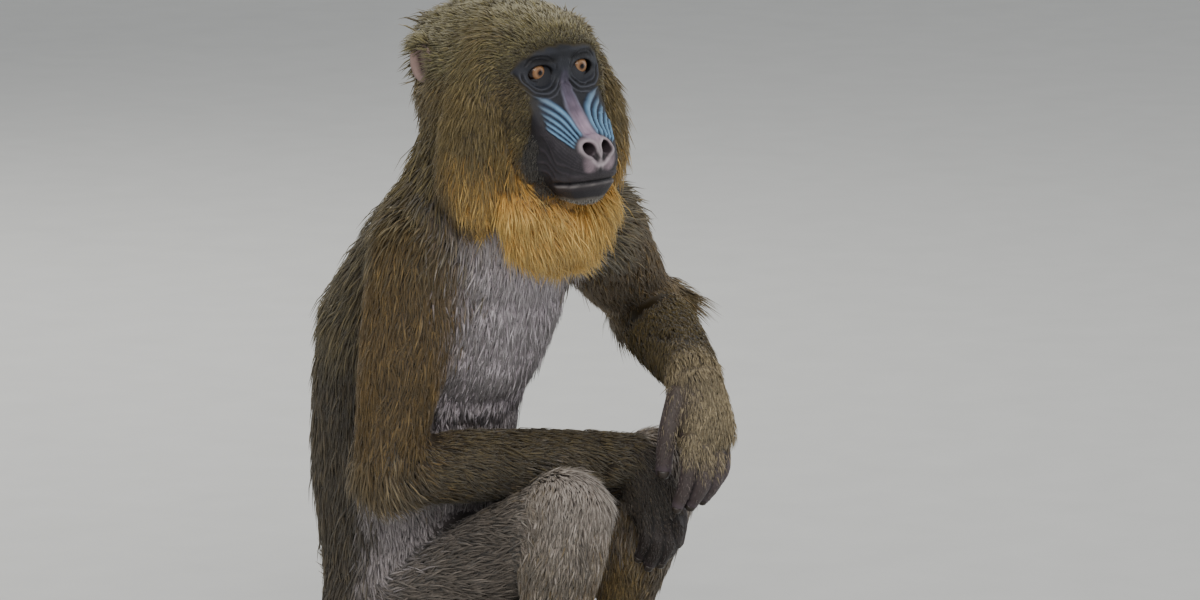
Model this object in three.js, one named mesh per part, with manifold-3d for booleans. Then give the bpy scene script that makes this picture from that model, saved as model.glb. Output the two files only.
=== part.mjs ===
// A life-size female mandrill sitting upright, in millimetres. The middle of the seat on the floor is the
// origin, +Z is up, the hips face -Y, and the animal's own right side is at -X.
// Every sub-part is one closed faceted body that meets its neighbours face to face across a hairline gap.
import * as THREE from "three";
import { mergeVertices } from "three/addons/utils/BufferGeometryUtils.js";
import Module from "manifold-3d";

const wasm = await Module();
wasm.setup();

// General sizes
const GAP = 0.3; // hairline between neighbours
const BLOCK = 900; // side of a cutting block, larger than the animal
const DEGREE = Math.PI / 180;

// The joints of the skeleton, which fix the pose
const JOINT = {
  hip_right: [-42, -2, 78],
  hip_left: [46, 0, 80],
  knee_right: [4, -160, 185],
  knee_left: [131, -124, 192],
  ankle_right: [-45, -178, 30],
  ankle_left: [81, -117, 32],
  shoulder_right: [-66, -84, 364],
  shoulder_left: [77, -108, 369],
  elbow_right: [-88, -70, 209],
  elbow_left: [203, -37, 285],
  wrist_right: [86, -145, 205],
  wrist_left: [93, -194, 271],
};

// Torso and neck: [x, y, z, half-width, front, back], from under the seat up to the skull
const TRUNK = [
  [0, 8, -16, 44, 34, 38],
  [0, 5, 10, 56, 42, 44],
  [0, 2, 42, 66, 46, 48],
  [0, -1, 84, 69, 52, 53],
  [0, -4, 132, 74, 64, 68],
  [0, -6, 190, 78, 74, 80],
  [0, -9, 240, 79, 78, 81],
  [-1, -21, 290, 82, 86, 78],
  [-2, -48, 330, 81, 88, 74],
  [-3, -70, 364, 77, 78, 68],
  [-5, -86, 398, 70, 68, 58],
  [-8, -93, 432, 60, 52, 52],
  [-11, -96, 470, 44, 40, 44],
];

// Where the trunk is parted: a point on each plane and the way up the trunk there
const WAIST = { at: [0, -8, 126], up: [0, -0.05, 1] };
const RIBS = { at: [0, -18, 262], up: [0, -0.25, 1] };
const NAPE = { at: [-4, -80, 386], up: [0, -0.35, 0.94] };

// Limb girths: [share of the bone's length, half-width, front, back]
const UPPER_ARM = [
  [0, 36, 38, 38],
  [0.3, 37, 35, 37],
  [0.65, 32, 31, 34],
  [1, 24, 24, 25],
];
const FOREARM = [
  [0, 25, 26, 25],
  [0.28, 29, 29, 28],
  [0.65, 27, 26, 27],
  [1, 21, 20, 21],
];
const THIGH = [
  [0, 34, 36, 40],
  [0.3, 40, 38, 57],
  [0.65, 37, 34, 50],
  [1, 27, 27, 28],
];
const SHIN = [
  [0, 30, 33, 28],
  [0.22, 32, 34, 33],
  [0.5, 25, 24, 29],
  [0.75, 20, 19, 23],
  [1, 17, 17, 19],
];

// Digits of the hands: [knuckle, middle joint, tip], then half-thickness at the knuckle and at the tip
const HAND_LEFT = {
  index: [[82, -203, 226], [75, -206, 200], [76, -195, 177], 7.6, 5.6],
  middle: [[90, -208, 219], [84, -213, 197], [86, -199, 178], 7.8, 5.8],
  ring: [[99, -210, 218], [94, -215, 197], [96, -201, 181], 7.4, 5.6],
  little: [[108, -208, 221], [104, -213, 203], [105, -201, 187], 6.8, 5.2],
  thumb: [[77, -194, 258], [67, -194, 232], [69, -188, 203], 8.6, 7],
};
const HAND_RIGHT = {
  little: [[82, -156, 166], [76, -164, 150], [77, -156, 135], 6.8, 5.2],
  ring: [[89, -159, 163], [82, -169, 146], [82, -161, 129], 7.4, 5.6],
  middle: [[96, -162, 161], [89, -172, 145], [90, -165, 131], 7.8, 5.8],
  index: [[103, -164, 163], [97, -173, 150], [98, -166, 137], 7.6, 5.6],
  thumb: [[98, -153, 184], [107, -165, 164], [105, -166, 144], 8.6, 7],
};

// Foot, as offsets from the ankle: [forward, outward, height, half-width, up, down]
const FOOT = [
  [-24, 0, 13, 15, 13, 15],
  [-6, 0, 20, 19, 20, 22],
  [22, 1, 18, 20, 18, 20],
  [52, 3, 13, 23, 13, 15],
  [78, 4, 9.5, 27, 10, 11.5],
];
// Toes: [name, forward and outward at the root, forward and outward at the tip, half-thickness]
const TOES = [
  ["big", 40, -16, 84, -44, 9.5],
  ["second", 78, -15, 124, -22, 7.6],
  ["third", 80, -3, 132, -4, 7.8],
  ["fourth", 79, 9, 127, 13, 7.4],
  ["fifth", 76, 20, 114, 29, 6.8],
];

// The head's own frame: origin midway between the eyes, x to its right, y forward, z up; its left is higher
const HEAD = { at: [-26.9, -181, 503.5], yaw: 170, roll: 3 };

// Head cross-sections: [forward, height, pitch down in degrees, half-width, top, bottom]
const SKULL = [
  [-122, -6, 0, 30, 22, 30],
  [-108, -6, 0, 44, 34, 44],
  [-86, -7, 0, 52, 39, 50],
  [-60, -9, 4, 51, 41, 52],
  [-34, -13, 10, 46, 40, 54],
  [-12, -20, 20, 38.5, 35, 50],
  [4, -32, 30, 31.5, 11.5, 50],
  [17, -48, 32, 28, 10, 45],
  [28, -62, 28, 24, 14, 37],
  [36, -69, 20, 19, 16, 29],
];
const MUZZLE_BULGE = 8; // how far the front of the muzzle bulges past its last cross-section

// Face features in the head's frame
const EYE = { across: 17.6, forward: -9.6, up: -5.6, radius: 11 };
const LID = 1.7; // thickness of an eyelid
const OPENING = { half_width: 9.4, half_height: 5.6, tilt: 6 }; // between the lids
const BROW = { forward: -5.5, up: 7, half_width: 31, thick: 6, deep: 9 };
const NOSE = { forward: 36, up: -61, half_width: 14.5, half_height: 12.5, deep: 9.5, lean: 4 };
const NOSTRIL = { across: 6.8, forward: 41, up: -54.5, half_width: 3.3, half_height: 4, deep: 6 };
const MOUTH = { up: -77.7, pitch: 5, height: 1.4, deep: 3.2, back: 8 };
const LIPS = { height: 9, proud: 1.4 }; // the swollen band along the mouth line
const RIDGES = 5; // the swollen ridges on each side of the nose
// Each ridge arches over the muzzle between two sections of the head and two angles; pairs give the top
// ridge and the bottom one, which draw together at the nose
const RIDGE = {
  back: [0.643, 0.75],
  back_at: [34, 28],
  front: [0.85, 0.92],
  front_at: [79, 50],
  arch: 2.5,
  thick: 2.4,
};
const EAR = { across: 55, forward: -88, up: -3, tall: 15.5, long: 12, deep: 7, rim: 2.2 };

// Ruff beside the face, from the temple down past the jaw, in the head's frame: [right, forward, up,
// half-width, outer, inner]
const RUFF = [
  [34, -36, 12, 11, 10, 14],
  [42, -34, -14, 20, 17, 22],
  [49, -35, -44, 26, 22, 30],
  [49, -40, -78, 27, 24, 30],
  [43, -46, -104, 17, 16, 20],
];

// Beard: a bib that hangs from the jaw over the throat, as rows like the trunk's
const BEARD = [
  [-18, -150, 436, 40, 20, 22],
  [-15, -160, 416, 54, 30, 30],
  [-11, -166, 390, 52, 31, 30],
  [-7, -170, 366, 42, 24, 24],
  [-5, -170, 352, 22, 13, 14],
];
const TAIL = [
  [2, 50, 78, 13, 13, 13],
  [2, 68, 92, 11, 11, 11],
  [2, 80, 112, 10, 10, 10],
  [3, 84, 132, 8, 8, 8],
];

// A lock's course: [share of its length to advance, girth, share of the lift]
const LOCK_PROFILE = [
  [0, 0.8, 1],
  [0.4, 1, 0.9],
  [0.34, 0.62, 0.1],
];

// Lock sizes: length, width, thickness and lift off the surface in degrees
const CROWN_LOCK = { length: 46, width: 26, thick: 8, lift: 11 };
const RUFF_LOCK = { length: 48, width: 22, thick: 7, lift: 17 };
const BEARD_LOCK = { length: 48, width: 20, thick: 7, lift: 16 };
const MANTLE_LOCK = { length: 72, width: 36, thick: 8, lift: 18 };
const ARM_LOCK = { length: 58, width: 24, thick: 6, lift: 15 };
const ELBOW_LOCK = { length: 38, width: 14, thick: 6, lift: 10 };

const SIDES = [["right", 1], ["left", -1]]; // the sign is that of the head's own x
const V = (p) => new THREE.Vector3(...p);
const between = (a, b, t) => V(a).lerp(V(b), t).toArray();
const mix = (a, b, t) => a + (b - a) * t;

// Mixes rows of numbers smoothly: row i is met exactly at t = i
function smoothRow(rows, t) {
  const i = Math.min(Math.floor(t), rows.length - 2);
  const s = t - i;
  const row = (k) => rows[Math.max(0, Math.min(rows.length - 1, k))];
  return rows[0].map((_, n) => {
    const [p, a, b, q] = [row(i - 1)[n], row(i)[n], row(i + 1)[n], row(i + 2)[n]];
    const bend = 2 * p - 5 * a + 4 * b - q;
    const twist = 3 * a - p - 3 * b + q;
    return 0.5 * (2 * a + (b - p) * s + bend * s * s + twist * s * s * s);
  });
}

// A three.js geometry as a solid for joining and cutting
function solid(geometry) {
  const bare = new THREE.BufferGeometry();
  bare.setAttribute("position", geometry.getAttribute("position"));
  bare.setIndex(geometry.getIndex());
  const merged = mergeVertices(bare, 1e-4);
  const build = (triVerts) =>
    new wasm.Manifold(
      new wasm.Mesh({ numProp: 3, vertProperties: merged.attributes.position.array, triVerts }),
    );
  const faces = new Uint32Array(merged.index.array);
  const made = build(faces);
  return made.volume() < 0 ? build(faces.reverse()) : made;
}

const join = (...parts) => wasm.Manifold.union(parts.flat());

// The largest closed surface of a shape, which drops loose scraps
const largest = (shape) => shape.decompose().sort((a, b) => b.volume() - a.volume())[0];

// A closed body over rings with the same number of points, with one point closing each end
function bodyOver(rings, first, last) {
  const sides = rings[0].length;
  const points = [first, ...rings.flat(), last];
  const at = (ring, i) => 1 + ring * sides + (i % sides);
  const end = rings.length - 1;
  const faces = [];
  for (let i = 0; i < sides; i++) {
    faces.push(0, at(0, i + 1), at(0, i));
    faces.push(points.length - 1, at(end, i), at(end, i + 1));
    for (let ring = 0; ring < end; ring++) {
      faces.push(at(ring, i), at(ring, i + 1), at(ring + 1, i));
      faces.push(at(ring, i + 1), at(ring + 1, i + 1), at(ring + 1, i));
    }
  }
  const geometry = new THREE.BufferGeometry();
  const numbers = points.flatMap((p) => p.toArray());
  geometry.setAttribute("position", new THREE.Float32BufferAttribute(numbers, 3));
  geometry.setIndex(faces);
  return solid(geometry);
}

// One closed ring round centre c, from its half-axis vectors to the side, the front and the back
function ringOf(c, side, front, back, sides, square = 2) {
  const bend = (x) => Math.sign(x) * Math.abs(x) ** (2 / square);
  return Array.from({ length: sides }, (_, i) => {
    const a = (2 * Math.PI * i) / sides;
    const deep = bend(Math.sin(a));
    const point = c.clone().addScaledVector(side, bend(Math.cos(a)));
    return point.addScaledVector(deep > 0 ? front : back, Math.abs(deep));
  });
}

// A limb-like body through rows of [x, y, z, half-width, front, back]; facing is the way its front looks
// and domes are how far its ends bulge past the first and last row
class Limb {
  constructor(rows, facing, { sides = 12, rings = 8, domes = [0, 0], steps = [0.4, 0.78] } = {}) {
    Object.assign(this, { rows, facing: V(facing), sides, rings, domes, steps });
  }

  // Centre, axes and girths at a share t of the length
  frame(t) {
    const span = this.rows.length - 1;
    const row = smoothRow(this.rows, t * span);
    const step = 0.02;
    const ahead = smoothRow(this.rows, Math.min(1, t + step) * span).slice(0, 3);
    const behind = smoothRow(this.rows, Math.max(0, t - step) * span).slice(0, 3);
    const way = V(ahead).sub(V(behind)).normalize();
    const side = way.clone().cross(this.facing).normalize();
    const front = side.clone().cross(way).normalize();
    return { centre: V(row.slice(0, 3)), way, side, front, girth: row.slice(3) };
  }

  ring({ centre, way, side, front, girth }, extra, shrink = 1, push = 0) {
    const [a, f, b] = girth.map((r) => (r + extra) * shrink);
    return ringOf(
      centre.clone().addScaledVector(way, push),
      side.clone().multiplyScalar(a),
      front.clone().multiplyScalar(f),
      front.clone().multiplyScalar(-b),
      this.sides,
    );
  }

  solid(extra = 0) {
    const frames = Array.from({ length: this.rings }, (_, i) => this.frame(i / (this.rings - 1)));
    const [start, end] = [frames[0], frames[this.rings - 1]];
    const [low, high] = this.domes.map((d) => d + extra);
    const bulge = (frame, reach) =>
      this.steps.map((s) => this.ring(frame, extra, Math.sqrt(1 - s * s), reach * s));
    const rings = frames.map((frame) => this.ring(frame, extra));
    if (this.domes[0]) rings.unshift(...bulge(start, -low).reverse());
    if (this.domes[1]) rings.push(...bulge(end, high));
    const first = start.centre.clone().addScaledVector(start.way, -low);
    return bodyOver(rings, first, end.centre.clone().addScaledVector(end.way, high));
  }

  // Point, outward normal and lengthwise direction on the surface; angle 0 is its side, 90 its front
  at(t, degrees) {
    const point = (share, angle) => {
      const { centre, side, front, girth } = this.frame(share);
      const [c, s] = [Math.cos(angle), Math.sin(angle)];
      const deep = s > 0 ? girth[1] : girth[2];
      return centre.addScaledVector(side, girth[0] * c).addScaledVector(front, deep * s);
    };
    return surface(point, t, degrees * DEGREE);
  }
}

// Point, outward normal and lengthwise direction of a surface given as point(t, angle)
function surface(point, t, angle) {
  const step = 0.01;
  const lengthwise = point(t + step, angle).sub(point(t - step, angle)).normalize();
  const round = point(t, angle + step).sub(point(t, angle - step)).normalize();
  return { point: point(t, angle), normal: lengthwise.clone().cross(round).normalize(), lengthwise, round };
}

// Seeded random numbers from 0 to 1
function seeded(seed) {
  let state = seed;
  return () => {
    state = (state * 1664525 + 1013904223) % 4294967296;
    return state / 4294967296;
  };
}

// One flat tapered lock of hair, sunk in at its root: it lifts off along the lie and bends back down
function lock({ point, normal }, lie, { length, width, thick, lift }, extra) {
  const flow = lie.clone().addScaledVector(normal, -lie.dot(normal)).normalize();
  const side = flow.clone().cross(normal);
  const place = point.clone().addScaledVector(normal, -thick * 0.7);
  place.addScaledVector(flow, -length * 0.1 - extra);
  const rings = LOCK_PROFILE.map(([advance, share, turn]) => {
    const angle = lift * turn * DEGREE;
    const way = flow.clone().multiplyScalar(Math.cos(angle)).addScaledVector(normal, Math.sin(angle));
    place.addScaledVector(way, advance * length);
    const up = side.clone().cross(way).multiplyScalar((thick / 2) * share + extra);
    const across = side.clone().multiplyScalar((width / 2) * share + extra);
    return ringOf(place.clone(), across, up, up.clone().negate(), 4);
  });
  const root = rings[0][0].clone().lerp(rings[0][2], 0.5).addScaledVector(flow, -1);
  const end = place.clone().addScaledVector(flow, length * 0.26 + extra);
  return bodyOver(rings, root, end);
}

// Locks over a patch of a surface: count rows from t0 to t1 and angles from a0 to a1, every second row
// shifted by half a step, with a seeded scatter in place, length and direction
function coat(at, { t, angles, count, size, seed, lie }, extra = 0) {
  const random = seeded(seed);
  const scatter = (reach) => (random() - 0.5) * reach;
  const [rows, across] = count;
  const locks = [];
  for (let i = 0; i < rows; i++) {
    for (let k = 0; k < across; k++) {
      const share = (k + 0.5 + (i % 2 ? 0.25 : -0.25) + scatter(0.3)) / across;
      const spot = at(mix(...t, (i + 0.5 + scatter(0.4)) / rows), mix(...angles, share));
      const way = lie(spot).normalize().addScaledVector(spot.round, scatter(0.35));
      const length = size.length * (1 + scatter(0.4));
      locks.push(lock(spot, way, { ...size, length, lift: size.lift * (1 + scatter(0.5)) }, extra));
    }
  }
  return join(locks);
}

// An ellipsoid from its centre and three half-axis vectors
function egg(centre, axes, across = 14, down = 10) {
  const ball = new THREE.SphereGeometry(1, across, down);
  const [a, b, c] = axes.map(V);
  ball.applyMatrix4(new THREE.Matrix4().makeBasis(a, b, c).setPosition(V(centre)));
  return solid(ball);
}

// A block that fills the side of a plane that its normal points to
function halfSpace(point, normal) {
  const n = V(normal).normalize();
  const block = new THREE.BoxGeometry(BLOCK, BLOCK, BLOCK);
  block.applyQuaternion(new THREE.Quaternion().setFromUnitVectors(new THREE.Vector3(0, 0, 1), n));
  const middle = V(point).addScaledVector(n, BLOCK / 2);
  block.translate(...middle.toArray());
  return solid(block);
}

// What lies above or below a parting plane, half a gap clear of it
function above(shape, { at, up }) {
  return shape.intersect(halfSpace(V(at).addScaledVector(V(up).normalize(), GAP / 2).toArray(), up));
}
function below(shape, { at, up }) {
  const down = V(up).negate().toArray();
  return shape.intersect(halfSpace(V(at).addScaledVector(V(up).normalize(), -GAP / 2).toArray(), down));
}
const onFloor = (shape) => shape.intersect(halfSpace([0, 0, 0], [0, 0, 1]));

// Limbs between two joints
const bone = (a, b, girths) => girths.map(([t, ...girth]) => [...between(a, b, t), ...girth]);

const trunk = new Limb(TRUNK, [0, -1, 0], { sides: 16, rings: 15 });

function armOf(side) {
  const [s, e, w] = ["shoulder", "elbow", "wrist"].map((j) => JOINT[`${j}_${side}`]);
  const inward = side === "right" ? 1 : -1;
  const root = [s[0] + 26 * inward, s[1] + 6, s[2] + 2, 38, 38, 38];
  return {
    upper: new Limb([root, ...bone(s, e, UPPER_ARM)], [0, -1, 0.01], { rings: 6, domes: [16, 22] }),
    lower: new Limb(bone(e, w, FOREARM), [0, 0, 1], { rings: 5, domes: [20, 12] }),
  };
}

function legOf(side) {
  const [h, k, a] = ["hip", "knee", "ankle"].map((j) => JOINT[`${j}_${side}`]);
  return {
    upper: new Limb(bone(h, k, THIGH), [0, 0, 1], { rings: 6, domes: [26, 22] }),
    lower: new Limb(bone(k, a, SHIN), [0, -1, 0], { rings: 6, domes: [20, 8] }),
  };
}

const digit = (points, radii, facing, sides = 6, rings = 3) =>
  new Limb(
    points.map((p, i) => [...p, radii[i], radii[i], radii[i]]),
    facing,
    { sides, rings, domes: [radii[0], radii[radii.length - 1]], steps: [0.6] },
  );

// Palm and digits of a hand, from its wrist
function handOf(digits, wrist, facing, extra) {
  const [index, little] = [V(digits.index[0]), V(digits.little[0])];
  const knuckles = index.clone().add(little).multiplyScalar(0.5);
  const half = index.distanceTo(little) / 2 + 7;
  const rows = [
    [...wrist, 18, 15, 15],
    [...between(wrist, knuckles.toArray(), 0.45), half, 14, 14],
    [...between(wrist, knuckles.toArray(), 0.8), half + 1, 12, 12],
    [...knuckles.toArray(), half, 9, 9],
  ];
  const palm = new Limb(rows, facing, { sides: 10, rings: 5, domes: [6, 6] });
  const fingers = Object.values(digits).map(([a, b, c, root, tip]) =>
    digit([a, b, c], [root, mix(root, tip, 0.4), tip], facing).solid(extra),
  );
  return join(palm.solid(extra), fingers);
}

// Foot and toes, flat on the floor; forward is where the toes point and outward the outer edge
function footOf(side, extra) {
  const [x, y] = JOINT[`ankle_${side}`];
  const sign = side === "right" ? -1 : 1;
  const turn = (side === "right" ? 13 : 8) * DEGREE;
  const forward = [sign * Math.sin(turn), -Math.cos(turn)];
  const outward = [sign * Math.cos(turn), Math.sin(turn)];
  const place = (f, o, z) => [
    x + forward[0] * f + outward[0] * o,
    y + forward[1] * f + outward[1] * o,
    z,
  ];
  const rows = FOOT.map(([f, o, z, ...girth]) => [...place(f, o, z), ...girth]);
  const sole = new Limb(rows, [0, 0, 1], { sides: 10, rings: 6, domes: [8, 12] });
  const toes = TOES.map(([, f0, o0, f1, o1, r]) => {
    const bent = place(mix(f0, f1, 0.5), mix(o0, o1, 0.5), r + 2.5);
    const course = [place(f0, o0, r), bent, place(f1, o1, r * 0.8)];
    return digit(course, [r, r, r * 0.82], [0, 0, 1], 5).solid(extra);
  });
  return onFloor(join(sole.solid(extra), toes));
}

// From the head's frame to the animal's
const headTurn = new THREE.Matrix4()
  .makeTranslation(...HEAD.at)
  .multiply(new THREE.Matrix4().makeRotationZ(HEAD.yaw * DEGREE))
  .multiply(new THREE.Matrix4().makeRotationY(HEAD.roll * DEGREE));
const toHead = (p) => V(p).applyMatrix4(headTurn);
const headWay = (p) => V(p).transformDirection(headTurn);
const headAxis = (a) => headWay(a).multiplyScalar(V(a).length()).toArray();
const headEgg = (centre, axes, across, down) =>
  egg(toHead(centre).toArray(), axes.map(headAxis), across, down);

// A point on the skull and face at section t (0 to 1) and angle: 0 is its right, 90 the top
function skullPoint(t, angle, extra = 0) {
  const [f, h, pitch, side, top, bottom] = smoothRow(SKULL, t * (SKULL.length - 1));
  const p = pitch * DEGREE;
  const square = mix(2.1, 2.6, t);
  const bend = (x) => Math.sign(x) * Math.abs(x) ** (2 / square);
  const [c, s] = [bend(Math.cos(angle)), bend(Math.sin(angle))];
  const up = s * ((s > 0 ? top : bottom) + extra);
  return toHead([c * (side + extra), f + Math.sin(p) * up, h + Math.cos(p) * up]);
}

function skull(extra = 0, sides = 16, sections = 15) {
  const share = (i) => i / (sections - 1);
  const rings = Array.from({ length: sections }, (_, i) =>
    Array.from({ length: sides }, (_, k) => skullPoint(share(i), (2 * Math.PI * k) / sides, extra)),
  );
  const [f0, h0] = SKULL[0];
  const [f1, h1, pitch] = SKULL[SKULL.length - 1];
  const p = pitch * DEGREE;
  const reach = MUZZLE_BULGE + extra;
  const shrunk = (ring, centre, k, push) => ring.map((q) => q.clone().lerp(centre, 1 - k).add(push));
  const frontWay = headWay([0, Math.cos(p), -Math.sin(p)]);
  const front = toHead([0, f1, h1]);
  const last = rings[sections - 1];
  for (const s of [0.45, 0.8]) {
    rings.push(shrunk(last, front, Math.sqrt(1 - s * s), frontWay.clone().multiplyScalar(reach * s)));
  }
  const back = toHead([0, f0, h0]);
  const backWay = headWay([0, -1, 0]);
  rings.unshift(shrunk(rings[0], back, 0.7, backWay.clone().multiplyScalar(5 + extra)));
  return bodyOver(
    rings,
    back.addScaledVector(backWay, 8 + extra),
    front.addScaledVector(frontWay, reach),
  );
}

// The eyeball and the lids that wrap it
const eyeAt = (sign) => [sign * EYE.across, EYE.forward, EYE.up];
const ball = (sign, r) => headEgg(eyeAt(sign), [[r, 0, 0], [0, 0, r], [0, -r, 0]], 12, 8);

// The almond opening between the lids, as a long lens through the lids
function opening(sign) {
  const tilt = sign * OPENING.tilt * DEGREE;
  const wide = [OPENING.half_width * Math.cos(tilt), 0, OPENING.half_width * Math.sin(tilt)];
  const tall = [-OPENING.half_height * Math.sin(tilt), 0, OPENING.half_height * Math.cos(tilt)];
  return headEgg([sign * EYE.across, EYE.forward + EYE.radius, EYE.up], [wide, [0, 9, 0], tall], 12, 6);
}

// One ridge beside the nose, tapering at both ends; sign is 1 on the animal's right
function ridge(sign, share) {
  const r = RIDGE.thick;
  const points = [0, 0.3, 0.65, 1].map((s) => {
    const section = mix(mix(...RIDGE.back, share), mix(...RIDGE.front, share), s);
    const angle = mix(mix(...RIDGE.front_at, share), mix(...RIDGE.back_at, share), (1 - s) ** RIDGE.arch);
    return skullPoint(section, (sign > 0 ? angle : 180 - angle) * DEGREE, 0.4).toArray();
  });
  return digit(points, [r * 0.7, r, r, r * 0.75], headWay([0, 0, 1]).toArray(), 5, 4).solid();
}

// A slab across the muzzle along the mouth line
function mouthSlab(height) {
  const slab = new THREE.BoxGeometry(90, 90, height);
  slab.rotateX(MOUTH.pitch * DEGREE);
  slab.translate(0, MOUTH.back + 45, MOUTH.up);
  slab.applyMatrix4(headTurn);
  return solid(slab);
}

function head(coatOfHead) {
  const brow = headEgg(
    [0, BROW.forward, BROW.up],
    [[BROW.half_width, 0, 0], [0, BROW.deep, 0], [0, 0, BROW.thick]],
    14,
    8,
  );
  const nose = headEgg(
    [0, NOSE.forward, NOSE.up],
    [[NOSE.half_width, 0, 0], [0, NOSE.deep, 2], [0, -NOSE.lean, NOSE.half_height]],
    12,
    7,
  );
  const lips = mouthSlab(LIPS.height).intersect(skull(LIPS.proud));
  let face = join(skull(), brow, nose, lips, coatOfHead);
  for (const sign of [-1, 1]) {
    const socket = headEgg(
      [sign * (EYE.across + 1), EYE.forward + 18, EYE.up - 2],
      [[14, 0, 0], [0, 12, 0], [0, 0, 10]],
      12,
      8,
    );
    face = join(face.subtract(socket), ball(sign, EYE.radius + LID));
    for (let i = 0; i < RIDGES; i++) face = face.add(ridge(sign, i / (RIDGES - 1)));
  }
  for (const sign of [-1, 1]) {
    const nostril = headEgg(
      [sign * NOSTRIL.across, NOSTRIL.forward, NOSTRIL.up],
      [[NOSTRIL.half_width, 0, sign * 1.2], [0, NOSTRIL.deep, 0], [0, 0, NOSTRIL.half_height]],
      8,
      6,
    );
    // the slit that runs from the nostril down to the middle of the nose
    const slit = headEgg(
      [sign * 4, NOSTRIL.forward + 2, NOSTRIL.up - 4.5],
      [[sign * 3.4, -1.4, 5.4], [0, 5, 0], [sign * 1.1, 0, -0.7]],
      8,
      6,
    );
    face = face.subtract(ball(sign, EYE.radius + GAP)).subtract(opening(sign)).subtract(nostril.add(slit));
  }
  return face.subtract(mouthSlab(MOUTH.height).subtract(skull(-MOUTH.deep)));
}

// The ruff on one side; its front looks outward
function ruffOf(sign) {
  const rows = RUFF.map(([x, y, z, ...girth]) => [...toHead([sign * x, y, z]).toArray(), ...girth]);
  return new Limb(rows, headWay([sign, 0, 0.01]).toArray(), { sides: 9, rings: 5, domes: [8, 8] });
}
const ruffs = { right: ruffOf(1), left: ruffOf(-1) };

// The long hair of the head: crown and ruffs
function headCoat(extra = 0) {
  const skullAt = (t, degrees) => surface((share, a) => skullPoint(share, a), t, degrees * DEGREE);
  const crown = {
    t: [0.1, 0.57],
    angles: [14, 166],
    count: [3, 4],
    size: CROWN_LOCK,
    seed: 11,
    lie: () => headWay([0, -1, 0]),
  };
  const sides = SIDES.map(([side, sign]) => {
    const patch = {
      t: [-0.02, 0.86],
      angles: [10, 190],
      count: [4, 3],
      size: RUFF_LOCK,
      seed: 20 + sign,
      lie: () => headWay([sign * 0.5, -0.5, -0.8]),
    };
    const ruff = ruffs[side];
    return ruff.solid(extra).add(coat((t, a) => ruff.at(t, sign > 0 ? a : 180 - a), patch, extra));
  });
  return join(coat(skullAt, crown, extra), sides);
}

// The cup of an ear
function ear(sign) {
  const centre = [sign * EAR.across, EAR.forward, EAR.up];
  const shellOf = (extra) =>
    headEgg(
      centre,
      [[EAR.deep + extra, 0, 0], [0, EAR.long + extra, 3], [0, -3, EAR.tall + extra]],
      10,
      7,
    );
  const shell = shellOf(0);
  const inner = centre.map((v, i) => v + [sign * (EAR.deep - 2), 3, 0][i]);
  const hollow = headEgg(
    inner,
    [[EAR.deep - EAR.rim + 1, 0, 0], [0, EAR.long - EAR.rim - 1, 3], [0, -3, EAR.tall - EAR.rim - 1]],
    9,
    6,
  );
  return { block: shellOf(GAP).subtract(skull(0)), cup: shell.subtract(hollow).subtract(skull(GAP)) };
}

// Materials, with the colours of the coat and the bare skin
const finish = (color, roughness) => new THREE.MeshStandardMaterial({ color, roughness, metalness: 0 });
const COAT = {
  olive: finish(0x5c4d33, 0.9),
  gold: finish(0x7a5c2c, 0.9),
  grey: finish(0x55504d, 0.9),
  pale: finish(0x9a8f92, 0.9),
  orange: finish(0xc88f3e, 0.9),
  face: finish(0x2b2a30, 0.6),
  hand: finish(0x6b5f52, 0.8),
  ear: finish(0x8a6f68, 0.7),
  eye: finish(0xb0703a, 0.1),
};

const animal = new THREE.Group();

// Adds a finished solid to the animal as a named mesh
function add(name, shape, material) {
  const mesh = largest(shape).getMesh();
  const step = mesh.numProp;
  const points = [];
  for (let i = 0; i < mesh.numVert; i++) {
    points.push(...mesh.vertProperties.subarray(i * step, i * step + 3));
  }
  const geometry = new THREE.BufferGeometry();
  geometry.setAttribute("position", new THREE.Float32BufferAttribute(points, 3));
  geometry.setIndex(Array.from(mesh.triVerts));
  geometry.computeVertexNormals();
  const made = new THREE.Mesh(geometry, material);
  made.name = name;
  animal.add(made);
}

const down = () => V([0, 0, -1]);
const trunkAt = (t, degrees) => trunk.at(t, degrees);
const armAt = (arm) => (t, degrees) => arm.at(t, degrees);
const alongArm = ({ lengthwise }) => lengthwise.clone();

// Where the locks of each part sit: shares of its length, angles round it, rows and locks in a row
const hanging = (size, seed) => ({ size, seed, lie: down });
const BEARD_COAT = { t: [0.1, 0.85], angles: [0, 180], count: [4, 5], ...hanging(BEARD_LOCK, 31) };
const NAPE_COAT = { t: [0.86, 0.95], angles: [190, 350], count: [1, 5], ...hanging(MANTLE_LOCK, 41) };
const MANTLE_COAT = { t: [0.64, 0.8], angles: [196, 344], count: [2, 4], ...hanging(MANTLE_LOCK, 43) };
const sleeve = (angles) => ({
  t: [0.2, 0.7],
  angles,
  count: [2, 3],
  size: ARM_LOCK,
  seed: 51,
  lie: alongArm,
});
const ARM_COAT = { right: sleeve([80, 260]), left: sleeve([-60, 120]) };
const ELBOW_COAT = {
  t: [0.84, 0.93],
  angles: [70, 130],
  count: [1, 2],
  size: ELBOW_LOCK,
  seed: 61,
  lie: () => V([0.7, -0.7, 0.15]),
};

const beard = new Limb(BEARD, [0, -1, 0.01], { sides: 14, rings: 6, domes: [6, 8] });
const beardAll = (extra) => beard.solid(extra).add(coat((t, a) => beard.at(t, a), BEARD_COAT, extra));
const tail = new Limb(TAIL, [0, 1, 0.01], { sides: 10, rings: 6, domes: [4, 8] });
const arms = { right: armOf("right"), left: armOf("left") };
const legs = { right: legOf("right"), left: legOf("left") };

const body = onFloor(trunk.solid());
const bodyClear = trunk.solid(GAP);
const headClear = join(skull(GAP), headCoat(GAP));
const napeClear = coat(trunkAt, NAPE_COAT, GAP);
const mantleClear = coat(trunkAt, MANTLE_COAT, GAP);
const trunkClear = join(bodyClear, mantleClear, napeClear);

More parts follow.
